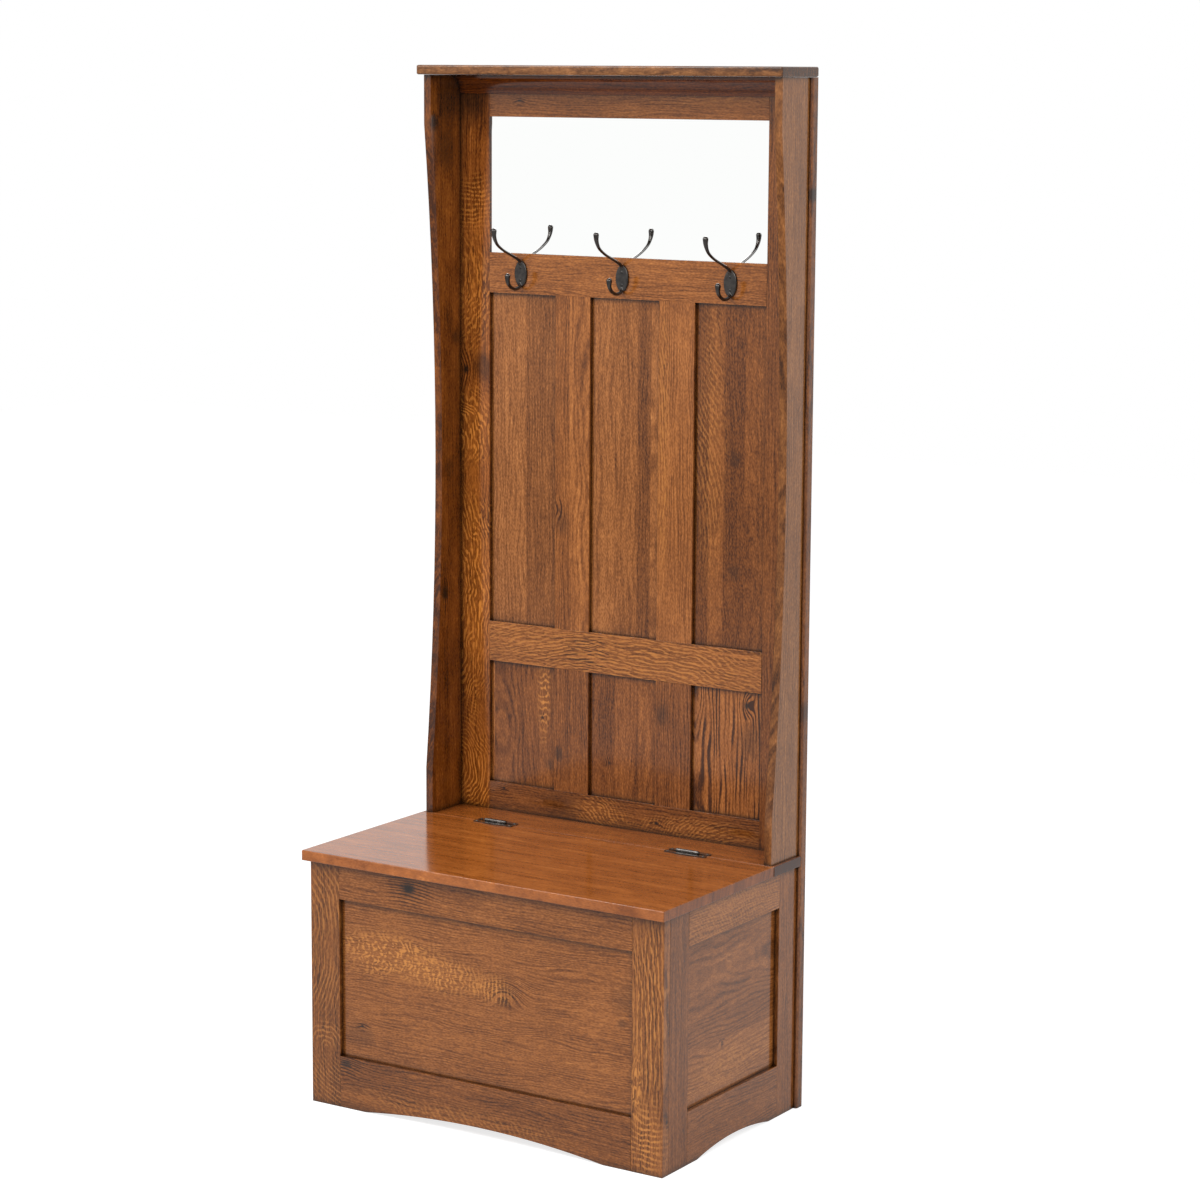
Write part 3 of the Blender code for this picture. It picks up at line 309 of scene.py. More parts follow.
def oak(name, node, grain, seed, tones=None, tone=0.0, tint=(1.0, 1.0, 1.0), heart=(280.0, 60.0), lean=(0.6, 0.0),
        wave=3.0, ring=5.5, lines=0.24, streak=0.5, streak_width=7.0, fibre=0.6, grit=0.5, mottle=0.2, stain=0.35,
        end=0.22, edge=0.0, strips=(), flecks=(), knots=(), smudges_and_shade=()):
    """One board's stained oak, with every length in millimetres.

    seed is the board's own stretch of the tree, tone lightens or darkens all of it, and tint is its own cast of
    the stain, or on some boards a painted sheen or shade. heart is where the tree's middle lies across and below
    the board's own middle, lean turns the trunk against the board in degrees, wave is how far the grain wanders,
    and ring is the growth rings' spacing. lines, streak, fibre, grit, mottle and stain are how strongly each layer
    of the figure shows, and end and edge how much darker the end grain and the long edges take the stain. What
    strips, flecks, knots and smudges_and_shade hold is said above BOARDS.
    """
    mat, tree, shader = new_material(name, Roughness=WOOD_ROUGHNESS, Specular_IOR_Level=0.0, Coat_Weight=1.0,
                                     Coat_Roughness=COAT_ROUGHNESS)
    space, width, across_axis = board_space(tree, node, grain)
    figure = space
    board_tone = MIDDLE_TONE + tone
    if strips:
        board_tone, figure = glued_strips(tree, space, width, board_tone, strips)
    placed = add(tree, "ShaderNodeMapping", inputs={
        "Vector": figure, "Location": (seed * NEW_BOARD, 0.0, 0.0),
        "Rotation": (0.0, math.radians(lean[1]), math.radians(lean[0]))})
    bent = wander(tree, wander(tree, placed, *SLOW_BEND, wave), *QUICK_BEND, QUICK_SHARE * wave)

    # The rings' radius takes the place of the distance across the board, so streaks follow the rings.
    radius, near_knot = ring_radius(tree, space, bent, heart, knots)
    split = add(tree, "ShaderNodeSeparateXYZ", inputs={"Vector": bent})
    ringed = add(tree, "ShaderNodeCombineXYZ", inputs={"X": split.outputs["X"], "Y": radius})

    blotch = grain_cloud(tree, placed, *BLOTCH_CLOUD)
    facing = add(tree, "ShaderNodeSeparateXYZ", inputs={
        "Vector": add(tree, "ShaderNodeTexCoord").outputs["Normal"]})
    end_grain = add(tree, "ShaderNodeMath", {"operation": "ABSOLUTE"}, {0: facing.outputs[AXES[grain]]})
    sawn_edge = add(tree, "ShaderNodeMath", {"operation": "ABSOLUTE"}, {0: facing.outputs[across_axis]})
    layers = (
        (grain_cloud(tree, ringed, STREAK_LENGTH, streak_width), streak),
        (grain_cloud(tree, ringed, *FIBRE_CLOUD), fibre),
        (grain_cloud(tree, placed, *GRIT_CLOUD), grit),
        (grain_cloud(tree, bent, *MOTTLE_CLOUD), mottle),
        (blotch, stain),
        (ring_lines(tree, placed, ringed, radius, ring, near_knot), -lines),
        (end_grain, -end),
        (sawn_edge, -edge))

    # What the layers add in the mean is taken off first: a half of each cloud, and less of the ring lines.
    added = (streak + fibre + grit + mottle + stain - 2 * LINE_MEAN * lines) / 2
    value = add(tree, "ShaderNodeMath", {"operation": "SUBTRACT"}, {0: board_tone, 1: added})
    for cloud, share in layers:
        value = add(tree, "ShaderNodeMath", {"operation": "MULTIPLY_ADD"}, {0: cloud, 1: share, 2: value})
    colour = add(tree, "ShaderNodeValToRGB", {"stops": tones or OAK_TONES}, {"Fac": value}).outputs["Color"]
    if flecks:
        colour = with_flecks(tree, colour, space, placed, blotch, flecks)
    colour = with_spots(tree, colour, space, blotch, [knot[:4] for knot in knots] + list(smudges_and_shade))
    # Painted shade: the corners and recesses are darkened where less light reaches them.
    colour = with_painted_corner_shade(tree, colour)
    cast = add(tree, "ShaderNodeMix", COLOUR_MIX | {"blend_type": "MULTIPLY"}, {
        0: 1.0, MIX_UNDER: colour, MIX_OVER: tint + (1.0,)})
    tree.links.new(cast.outputs[MIXED], shader.inputs["Base Color"])

    # Pores show as fine dents through the lacquer.
    dents = add(tree, "ShaderNodeBump", inputs={
        "Strength": PORE_STRENGTH, "Distance": PORE_DEPTH, "Height": grain_cloud(tree, placed, *PORE_CLOUD)})
    tree.links.new(dents.outputs["Normal"], shader.inputs["Normal"])
    return mat


# What the photo shows on each board, in millimetres from the board's middle: first along the grain, then
# across it, each counted upwards, to the right or to the back. Each list holds these values:
# strips   a glued-up strip's lower edge and its tone
# flecks   a patch's middle, its half axes, the size of its swirls, its lines' pitch, the point that they curve
#          round, its strength, by how many lines a swirl bends them, and how far they are broken up
# knots    a knot's middle along and across, its radius, its darkness, and how far it pushes the rings aside
# smudges_and_shade  the middle along and across of a smudge or of a patch of painted shade, its radius and its
# darkness

BOARDS = {
    "back_stile_left": dict(grain="Z", tone=-0.17, tint=(1.12, 1.02, 0.8), wave=7.0, streak=0.9, stain=0.8,
        flecks=[
            ((270.0, 0.0), (80.0, 60.0), 44.0, 9.0, (240.0, -60.0), 0.85, 4.5, 6.0),
            ((-40.0, 0.0), (240.0, 70.0), 60.0, 8.0, (-60.0, -400.0), 0.95, 5.5, 6.0),
            ((-420.0, 0.0), (160.0, 70.0), 50.0, 7.0, (-380.0, -60.0), 0.95, 3.5, 4.0),
            ((525.0, 0.0), (120.0, 60.0), 34.0, 9.0, (560.0, -90.0), 0.6, 3.0, 9.0),
            ((680.0, 0.0), (60.0, 60.0), 60.0, 8.0, (900.0, 0.0), 0.5, 2.0, 8.0)],
        knots=[(378.0, -11.0, 8.0, 1.0, 14.0), (438.0, -26.0, 4.0, 1.0, 6.0)],
        smudges_and_shade=[(388.0, 28.0, 20.0, 0.6), (885.0, 0.0, 38.0, 0.6)]),
    "back_stile_right": dict(grain="Z", tone=-0.16, smudges_and_shade=[(718.0, 42.0, 9.0, 0.8), (-190.0, 42.0, 12.0, 0.6)]),
    "rail_top": dict(grain="X", tone=-0.02,
        flecks=[((220.0, 5.0), (160.0, 25.0), 60.0, 7.0, (220.0, -500.0), 0.4, 3.0, 6.0)],
        knots=[(-228.0, -8.0, 3.0, 0.6, 5.0)]),
    "rail_hook": dict(grain="X", wave=6.0, lines=0.2),
    "rail_middle": dict(grain="X", tone=-0.06, wave=9.0, streak=0.8,
        flecks=[((0.0, 0.0), (500.0, 70.0), 70.0, 7.0, (0.0, -700.0), 0.7, 4.0, 5.0)],
        knots=[(-80.0, 0.0, 12.0, 0.0, 12.0)]),
    "rail_seat": dict(grain="X", tone=-0.2, wave=6.0,
        flecks=[
            ((-45.0, 8.0), (70.0, 30.0), 40.0, 7.0, (-120.0, -60.0), 0.6, 3.0, 7.0),
            ((160.0, -2.0), (150.0, 30.0), 36.0, 6.0, (260.0, -120.0), 0.5, 2.0, 7.0)],
        knots=[(-261.0, 27.0, 2.6, 1.0, 4.0), (77.0, 4.0, 3.0, 1.0, 4.0)],
        smudges_and_shade=[(-130.0, 10.0, 30.0, 0.3)]),
    "rail_foot": dict(grain="X"),
    "mullion_upper_left": dict(grain="Z",
        strips=[(-38.0, -0.08), (-6.0, 0.04)],
        knots=[(-86.0, -27.0, 4.0, 0.5, 7.0)],
        smudges_and_shade=[(-110.0, -22.0, 16.0, 0.35)]),
    "mullion_upper_right": dict(grain="Z", tone=0.01, streak=0.4,
        flecks=[((40.0, -26.0), (300.0, 14.0), 120.0, 6.0, (0.0, -900.0), 0.55, 1.5, 7.0)]),
    "mullion_lower_left": dict(grain="Z", tone=-0.13, smudges_and_shade=[(-45.0, -28.0, 9.0, 0.6)]),
    "mullion_lower_right": dict(grain="Z", tone=-0.14, smudges_and_shade=[(54.0, -23.0, 16.0, 0.45)]),
    "panel_upper_left": dict(grain="Z", tint=(0.98, 1.03, 1.2), ring=5.0, lines=0.18, streak=0.38, fibre=0.5,
        grit=0.6,
        strips=[(-81.0, 0.06), (4.7, -0.1)]),
    "panel_upper_middle": dict(grain="Z", tint=(1.0, 1.04, 1.15), ring=7.0, lines=0.16, streak=0.34, fibre=0.5,
        grit=0.6,
        strips=[(-81.0, 0.05), (-23.4, -0.02), (25.8, -0.2), (53.7, 0.06)]),
    "panel_upper_right": dict(grain="Z", tone=-0.15, lean=(3.0, 0.0), lines=0.1, streak=0.26, fibre=0.5, grit=0.6,
        strips=[(-81.0, -0.12), (-45.0, 0.06), (-13.9, -0.12), (28.6, -0.02)],
        flecks=[((60.0, -45.0), (280.0, 34.0), 90.0, 8.0, (-120.0, -400.0), 0.4, 2.0, 6.0)],
        smudges_and_shade=[(32.0, 9.0, 10.0, 0.4), (-170.0, 10.0, 12.0, 0.4)]),
    "panel_lower_left": dict(grain="Z", tone=-0.05, lean=(4.0, 0.0), lines=0.22,
        strips=[(-81.0, 0.2), (-66.0, -0.1), (26.6, 0.0), (52.0, -0.06)],
        flecks=[((50.0, 46.0), (75.0, 14.0), 30.0, 13.0, (400.0, 46.0), 1.0, 2.0, 5.0)],
        knots=[(18.0, 42.0, 3.0, 0.9, 5.0)],
        smudges_and_shade=[(-70.0, 58.0, 9.0, 0.5)]),
    "panel_lower_middle": dict(grain="Z", tone=-0.14, ring=6.0, lines=0.16, streak=0.4, fibre=0.5, grit=0.6,
        strips=[(-81.0, -0.04), (-20.0, 0.05)],
        knots=[(-51.0, -31.0, 2.5, 0.8, 4.0)]),
    "panel_lower_right": dict(grain="Z", tone=-0.08, heart=(-66.0, 14.0), lean=(1.0, 2.0), wave=6.0, ring=8.0,
        lines=0.75,
        knots=[(89.0, 40.0, 4.5, 0.9, 14.0)],
        smudges_and_shade=[(23.0, 45.0, 24.0, 0.4)]),
    "chest_back_panel": dict(grain="X"),
    "wing_left": dict(grain="Z", tone=-0.2, tint=(1.0, 0.92, 0.6), lines=0.12, stain=0.9, edge=0.13,
        knots=[(-273.0, -5.0, 11.0, 1.0, 8.0)],
        # The smudges from 548 to 650 mm up, high on the wing under the cap, are painted shade.
        smudges_and_shade=[(650.0, 10.0, 36.0, 0.55), (599.0, -36.0, 12.0, 0.85), (548.0, 0.0, 26.0, 0.5),
            (204.0, 30.0, 12.0, 0.6), (-36.0, 8.0, 14.0, 0.5)]),
    # The right wing is lightened and tinted bluish as a painted sheen on its outer face.
    "wing_right": dict(grain="Z", tone=0.05, tint=(0.97, 1.1, 1.36), streak=0.4, edge=0.22),
    # The cap board's bluish tint is a painted sheen on its front.
    "cap_board": dict(grain="X", tone=-0.2, tint=(0.98, 1.2, 1.75)),
    # The crown moulding is darkened and warmed as painted shade under the cap.
    "crown_moulding": dict(grain="X", tone=-0.2, tint=(1.0, 0.72, 0.3), lines=0.15),
    "front_stile_left": dict(grain="Z", tone=-0.2, wave=8.0, streak=0.5,
        flecks=[
            ((150.0, 0.0), (95.0, 60.0), 60.0, 10.0, (110.0, -120.0), 0.55, 1.5, 3.6),
            ((5.0, 0.0), (80.0, 60.0), 50.0, 8.0, (90.0, -260.0), 0.5, 1.5, 4.0),
            ((-95.0, 4.0), (30.0, 60.0), 24.0, 9.0, (-120.0, 0.0), 0.5, 1.5, 3.6),
            ((-185.0, 0.0), (60.0, 60.0), 50.0, 7.5, (-60.0, 80.0), 0.45, 1.0, 3.8)]),
    "front_stile_right": dict(grain="Z", tone=-0.12, ring=5.5, lines=0.36, streak=0.8,
        flecks=[
            ((60.0, 0.0), (180.0, 45.0), 70.0, 8.0, (0.0, -900.0), 0.8, 1.8, 4.5),
            ((-70.0, -22.0), (80.0, 12.0), 20.0, 15.0, (0.0, -200.0), 1.0, 3.0, 5.0),
            ((-170.0, 0.0), (70.0, 45.0), 44.0, 10.0, (-40.0, 10.0), 0.95, 1.6, 4.6)]),
    "front_rail_top": dict(grain="X", tone=-0.05, knots=[(-155.0, 9.0, 12.0, 1.0, 5.0)]),
    "front_rail_bottom": dict(grain="X", tone=-0.14, wave=6.0,
        flecks=[((-60.0, -20.0), (260.0, 24.0), 30.0, 9.0, (-400.0, -300.0), 0.4, 2.0, 7.0)],
        knots=[(-297.0, 35.0, 8.0, 0.7, 6.0)]),
    "front_panel": dict(grain="X", lean=(-1.2, 0.3), wave=8.0, ring=5.0, streak=0.36, stain=0.25,
        flecks=[
            ((-205.0, 56.0), (130.0, 46.0), 26.0, 12.0, (-330.0, 60.0), 1.0, 3.0, 8.0),
            ((-100.0, 40.0), (110.0, 34.0), 24.0, 10.0, (-300.0, 30.0), 1.0, 2.5, 6.0),
            ((15.0, 28.0), (50.0, 26.0), 30.0, 8.0, (-250.0, 30.0), 0.9, 1.5, 4.0)],
        knots=[(44.0, 30.0, 9.0, 0.2, 24.0), (-265.0, -84.0, 3.0, 0.9, 4.0)],
        smudges_and_shade=[(286.0, 14.0, 8.0, 0.45), (300.0, 60.0, 30.0, 0.25), (-270.0, -96.0, 24.0, 0.25)]),
    "seat_strip": dict(grain="X", tone=0.06, tint=(1.04, 0.91, 0.82), ring=9.0, lines=0.1, streak_width=12.0,
        fibre=0.4, grit=0.3, stain=0.45, end=0.6),
    "lid": dict(grain="X", tone=0.16, tint=(1.04, 0.9, 0.8), ring=9.0, lines=0.1, streak=0.62, streak_width=12.0,
        fibre=0.4, grit=0.3, stain=0.45),
}
for side in ("left", "right"):
    BOARDS["side_" + side + "_stile_front"] = dict(grain="Z", tone=-0.08, ring=10.0, lines=0.14)
    BOARDS["side_" + side + "_stile_rear"] = dict(grain="Z")
    BOARDS["side_" + side + "_rail_top"] = dict(grain="Y", tone=0.08,
        flecks=[((0.0, 0.0), (200.0, 50.0), 24.0, 8.0, (-300.0, -200.0), 0.5, 2.0, 7.0)])
    BOARDS["side_" + side + "_rail_bottom"] = dict(grain="Y")
    BOARDS["side_" + side + "_panel"] = dict(grain="Y", streak=0.32, fibre=0.5, mottle=0.15,
        strips=[(-154.0, 0.16), (-52.0, 0.0)],
        flecks=[((-10.0, -100.0), (110.0, 44.0), 24.0, 14.0, (-200.0, -300.0), 0.55, 3.0, 7.0)],
        knots=[(-26.0, -56.0, 2.5, 0.8, 4.0)])

# Plywood for the hidden boards: pale, with faint plain grain.
PLYWOOD = {"bottom_board": "X", "bottom_cleat_left": "Y", "bottom_cleat_right": "Y", "mirror_backing": "X"}
PLY_TINT = (1.08, 0.95, 0.8)
PLY_SEED = 70

# The wings and the cap are eased more than the frames. Angles are in degrees: faces that turn by less than the
# flat one become one face, and edges that turn by more than the sharp ones stay crisp.
WELL_EASED = ("wing_left", "wing_right", "cap_board")
ARRIS_R = 0.5 * MM
WELL_EASED_R = 1.2 * MM
SAME_POINT = 0.001 * MM
FLAT_TURN = 0.5
SHARP_TURN = 50.0
SHARP_TURN_CASTING = 60.0
SHARP_TURN_METAL = 30.0
ALONG_GRAIN = 0.7  # The share of a long arris's length that lies along the grain, at least.
BODIES = {node: body for body, nodes in frame["record"]["behaviour"]["bodies"].items() for node in nodes}


def dress(node, mat):
    """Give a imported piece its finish."""
    mesh = frame["nodes"][node].data
    mesh.materials.clear()
    mesh.materials.append(mat)


def show(name, work, mat, sharp_turn):
    """Put a mesh into the scene, shaded smooth but for edges that turn by more than sharp_turn degrees."""
    mesh = bpy.data.meshes.new(name)
    work.to_mesh(mesh)
    work.free()
    mesh.materials.append(mat)
    mesh.shade_smooth()
    mesh.set_sharp_from_angle(angle=math.radians(sharp_turn))
    piece = bpy.data.objects.new(name, mesh)
    scene.collection.objects.link(piece)
    return piece


def add_piece(name, work, mat, node, sharp_turn):
    """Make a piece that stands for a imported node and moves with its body. Flat faces stay level."""
    piece = show(name, work, mat, sharp_turn)
    level = piece.modifiers.new("level_faces", "WEIGHTED_NORMAL")
    level.keep_sharp = True
    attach(piece, BODIES[node])
    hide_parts(node)


def merged_copy(node):
    """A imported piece's solid with its flat faces whole again."""
    work = bmesh.new()
    work.from_mesh(frame["nodes"][node].data)
    bmesh.ops.remove_doubles(work, verts=work.verts, dist=SAME_POINT)
    bmesh.ops.dissolve_limit(work, angle_limit=math.radians(FLAT_TURN), verts=work.verts, edges=work.edges)
    return work


def eased_board(node, mat, grain, radius):
    """The board with its long arrises eased, as sandpaper leaves them."""
    work = merged_copy(node)
    arrises = []
    for edge in work.edges:
        run = edge.verts[1].co - edge.verts[0].co
        sharp = edge.is_convex and edge.calc_face_angle(0.0) > math.radians(SHARP_TURN)
        if sharp and abs(run[AXES[grain]]) > ALONG_GRAIN * run.length:
            arrises.append(edge)
    bmesh.ops.bevel(work, geom=arrises, offset=radius, offset_type="OFFSET", segments=2, profile=0.5,
                    affect="EDGES", clamp_overlap=True, material=-1)
    add_piece(node + "_eased", work, mat, node, SHARP_TURN)


for count, (node, values) in enumerate(BOARDS.items()):
    mat = oak("oak_" + node, node, seed=count + 1, **values)
    eased_board(node, mat, values["grain"], WELL_EASED_R if node in WELL_EASED else ARRIS_R)
for count, (node, grain) in enumerate(PLYWOOD.items()):
    dress(node, oak("plywood_" + node, node, grain, seed=count + PLY_SEED, tones=PLY_TONES, tint=PLY_TINT,
                    lines=0.1, streak=0.4))


# Cast iron with a dark oil-rubbed bronze finish: near black and satin, with bright rims where light rakes it.
# The hinges have the same finish, a little worn and lighter.

CAST_ROUGHNESS = 0.28
WORN_ROUGHNESS = 0.24
BRONZE_COAT = 0.8
BRONZE_COAT_ROUGHNESS = 0.12
BRONZE_METAL = 0.85
CAST_CLOUD = 0.12 / MM
CAST_DEPTH = 0.1 * MM
CAST_STRENGTH = 0.25


def bronze(name, dark, light, roughness):
    """A bronze finish that varies softly between a dark and a light tone over a faintly uneven casting."""
    mat, tree, shader = new_material(name, Metallic=BRONZE_METAL, Roughness=roughness, Coat_Weight=BRONZE_COAT,
                                     Coat_Roughness=BRONZE_COAT_ROUGHNESS)
    cloud = add(tree, "ShaderNodeTexNoise", inputs={
        "Vector": add(tree, "ShaderNodeTexCoord").outputs["Object"], "Scale": CAST_CLOUD, "Detail": 3.0})
    colour = add(tree, "ShaderNodeValToRGB", {"stops": [(0.35, dark), (0.65, light)]}, {"Fac": cloud})
    tree.links.new(colour.outputs[0], shader.inputs["Base Color"])
    cast = add(tree, "ShaderNodeBump", inputs={"Strength": CAST_STRENGTH, "Distance": CAST_DEPTH, "Height": cloud})
    tree.links.new(cast.outputs["Normal"], shader.inputs["Normal"])
    return mat


dark_bronze = bronze("oil_rubbed_bronze", rgb("#221E1C"), rgb("#3A3531"), CAST_ROUGHNESS)
worn_bronze = bronze("worn_bronze", rgb("#322D2A"), rgb("#625B55"), WORN_ROUGHNESS)

# Each hook is one casting: an oval plate and two tapering arms that end in knobs. The arms' points give the
# distance out from the wood, the height over the plate's middle, and the radius, in inches.

UPPER_ARM = (
    (0.06, 0.72, 0.125), (0.32, 0.99, 0.120), (1.20, 1.36, 0.105), (2.20, 1.74, 0.100),
    (2.93, 2.14, 0.108), (3.25, 2.48, 0.128), (3.42, 2.84, 0.165), (3.45, 3.18, 0.205))
LOWER_ARM = (
    (0.06, -0.76, 0.130), (0.33, -1.00, 0.128), (0.88, -1.06, 0.125), (1.42, -0.84, 0.130),
    (1.71, -0.49, 0.155), (1.74, -0.10, 0.215))
PLATE_HALF_W = 0.52 * INCH
PLATE_HALF_H = 0.93 * INCH
PLATE_T = 0.13 * INCH
PLATE_RIM = 0.06 * INCH
PLATE_SIDES = 48
ARM_SIDES = 20
ARM_STEPS = 6
DOME_TURNS = (20, 40, 60, 75, 86)
CASTING_GRAIN = 0.55 * MM
SMOOTHING_PASSES = 3


def arm_path(controls):
    """Smooth points and radii through an arm's control points, ending in a dome."""
    knots = [Vector(point) * INCH for point in controls]
    knots = [2 * knots[0] - knots[1]] + knots + [2 * knots[-1] - knots[-2]]
    path = []
    for first, second, third, fourth in zip(knots, knots[1:], knots[2:], knots[3:]):
        for count in range(ARM_STEPS):
            t = count / ARM_STEPS
            path.append(0.5 * (2 * second + (third - first) * t
                               + (2 * first - 5 * second + 4 * third - fourth) * t * t
                               + (3 * second - first - 3 * third + fourth) * t * t * t))
    end = knots[-2]
    path.append(end)
    ahead = end - path[-2]
    ahead[2] = 0.0
    ahead.normalize()
    for angle in DOME_TURNS:
        step = end + ahead * end[2] * math.sin(math.radians(angle))
        step[2] = end[2] * math.cos(math.radians(angle))
        path.append(step)
    return path


def sweep_arm(work, controls, middle):
    """A round arm in the plane of the hook, made of rings joined along its path."""
    points = arm_path(controls)
    path = [Vector((middle.x, middle.y - out, middle.z + up)) for out, up, _ in points]
    rings = []
    for count, (place, (_, _, radius)) in enumerate(zip(path, points)):
        ahead = path[min(count + 1, len(path) - 1)] - path[max(count - 1, 0)]
        turn = Matrix.Rotation(math.atan2(-ahead.y, ahead.z), 4, "X")
        ring = bmesh.ops.create_circle(work, segments=ARM_SIDES, radius=radius,
                                       matrix=Matrix.Translation(place) @ turn)
        rings.append(list({edge for vert in ring["verts"] for edge in vert.link_edges}))
    for first, second in zip(rings, rings[1:]):
        bmesh.ops.bridge_loops(work, edges=first + second)
    for ring in (rings[0], rings[-1]):
        bmesh.ops.contextual_create(work, geom=ring)


def fused(name, work, back):
    """A casting's parts run together with small fillets, and cut flat behind, where the wood is."""
    mesh = bpy.data.meshes.new(name + "_parts")
    work.to_mesh(mesh)
    work.free()
    source = bpy.data.objects.new(name + "_parts", mesh)
    scene.collection.objects.link(source)
    remesh = source.modifiers.new("fuse", "REMESH")
    remesh.mode = "VOXEL"
    remesh.voxel_size = CASTING_GRAIN
    bpy.context.view_layer.update()
    work = bmesh.new()
    work.from_mesh(source.evaluated_get(bpy.context.evaluated_depsgraph_get()).to_mesh())
    bpy.data.objects.remove(source)
    for _ in range(SMOOTHING_PASSES):
        bmesh.ops.smooth_vert(work, verts=work.verts, factor=0.5, use_axis_x=True, use_axis_y=True,
                              use_axis_z=True)
    bmesh.ops.bisect_plane(work, geom=work.verts[:] + work.edges[:] + work.faces[:], plane_co=(0.0, back, 0.0),
                           plane_no=(0.0, 1.0, 0.0), clear_outer=True)
    bmesh.ops.holes_fill(work, edges=[edge for edge in work.edges if edge.is_boundary])
    return work


def cast_hook(node):
    """The hook's plate and arms, fused, on the middle of the hook rail's height."""
    low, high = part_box(node)
    rail_low, rail_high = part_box("rail_hook")
    middle = Vector(((low.x + high.x) / 2, high.y, (rail_low.z + rail_high.z) / 2))
    work = bmesh.new()
    oval = Matrix.Diagonal((PLATE_HALF_W, 1.0, PLATE_HALF_H, 1.0)) @ Matrix.Rotation(math.pi / 2, 4, "X")
    place = Matrix.Translation(middle - Vector((0.0, PLATE_T / 2, 0.0)))
    bmesh.ops.create_cone(work, cap_ends=True, segments=PLATE_SIDES, radius1=1.0, radius2=1.0, depth=PLATE_T,
                          matrix=place @ oval)
    rim = [edge for edge in work.edges if all(vert.co.y < middle.y - PLATE_T / 2 for vert in edge.verts)]
    bmesh.ops.bevel(work, geom=rim, offset=PLATE_RIM, offset_type="OFFSET", segments=3, profile=0.5,
                    affect="EDGES", material=-1)
    sweep_arm(work, UPPER_ARM, middle)
    sweep_arm(work, LOWER_ARM, middle)
    bmesh.ops.recalc_face_normals(work, faces=work.faces)
    name = node + "_casting"
    add_piece(name, fused(name, work, high.y), dark_bronze, node, SHARP_TURN_CASTING)


# A cross-head screw, in head radii: a rounded head with a sunk cross, and a thinner shank below it.

HEAD_H = 0.4
HEAD_TAPER = 0.95
HEAD_ROUND = 0.3
HEAD_SIDES = 28
SHANK_INSET = 0.45
CROSS_W = 0.13
CROSS_L = 0.55
CROSS_DEPTH = 0.3
CROSS_TURN = 31
FACES_UP = 0.95  # The least and the greatest upward share of a normal by which a face is on top or below.
FACES_DOWN = -0.9


def pull_faces(work, faces, height):
    """Move faces up by a height, with walls that keep them joined to the rest."""
    pulled = bmesh.ops.extrude_face_region(work, geom=faces)["geom"]
    bmesh.ops.delete(work, geom=faces, context="FACES_ONLY")
    bmesh.ops.translate(work, vec=(0.0, 0.0, height),
                        verts=[part for part in pulled if isinstance(part, bmesh.types.BMVert)])


def screw_solid(shank):
    """A screw of unit head radius that points up, with a shank of the given length below."""
    work = bmesh.new()
    bmesh.ops.create_cone(work, cap_ends=True, segments=HEAD_SIDES, radius1=1.0, radius2=HEAD_TAPER, depth=HEAD_H,
                          matrix=Matrix.Translation((0.0, 0.0, HEAD_H / 2)))
    rim = [edge for edge in work.edges if all(vert.co.z > HEAD_H / 2 for vert in edge.verts)]
    bmesh.ops.bevel(work, geom=rim, offset=HEAD_ROUND, offset_type="OFFSET", segments=4, profile=0.5,
                    affect="EDGES", material=-1)
    foot = [face for face in work.faces if face.normal.z < FACES_DOWN]
    bmesh.ops.inset_individual(work, faces=foot, thickness=SHANK_INSET)
    pull_faces(work, foot, -shank)
    for normal in ((1.0, 0.0, 0.0), (0.0, 1.0, 0.0)):
        for offset in (-CROSS_L, -CROSS_W, CROSS_W, CROSS_L):
            bmesh.ops.bisect_plane(work, geom=work.verts[:] + work.edges[:] + work.faces[:],
                                   plane_co=Vector(normal) * offset, plane_no=normal)
    cross = []
    for face in work.faces:
        middle = face.calc_center_median()
        near, far = sorted((abs(middle.x), abs(middle.y)))
        if face.normal.z > FACES_UP and near < CROSS_W and far < CROSS_L:
            cross.append(face)
    pull_faces(work, cross, -CROSS_DEPTH)
    bmesh.ops.recalc_face_normals(work, faces=work.faces)
    return work


def drive_screw(name, place, ahead, head_r, length, body, mat, node=None):
    """Set a screw with its head's underside at place and its shank running ahead into the wood."""
    work = screw_solid(length / head_r)
    turn = (-Vector(ahead)).to_track_quat("Z", "Y").to_matrix().to_4x4()
    bmesh.ops.transform(work, verts=work.verts, matrix=Matrix.Translation(place) @ turn
                        @ Matrix.Scale(head_r, 4) @ Matrix.Rotation(math.radians(CROSS_TURN), 4, "Z"))
    piece = show(name, work, mat, SHARP_TURN_METAL)
    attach(piece, body)
    if node:
        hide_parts(node)


HOOK_SCREW_R = 2.6 * MM
HOOK_SCREW_LIFT = 0.1 * MM
for side in ("left", "middle", "right"):
    cast_hook("hook_" + side)
    for label in ("upper", "lower"):
        node = "hook_screw_" + side + "_" + label
        low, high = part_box(node)
        place = ((low.x + high.x) / 2, low.y - HOOK_SCREW_LIFT, (low.z + high.z) / 2)
        drive_screw(node + "_head", place, (0.0, 1.0, 0.0), HOOK_SCREW_R, high.y - low.y, BODIES[node],
                    dark_bronze, node)

# Hinges: leaves that end in round lobes, with a countersunk screw in each lobe.

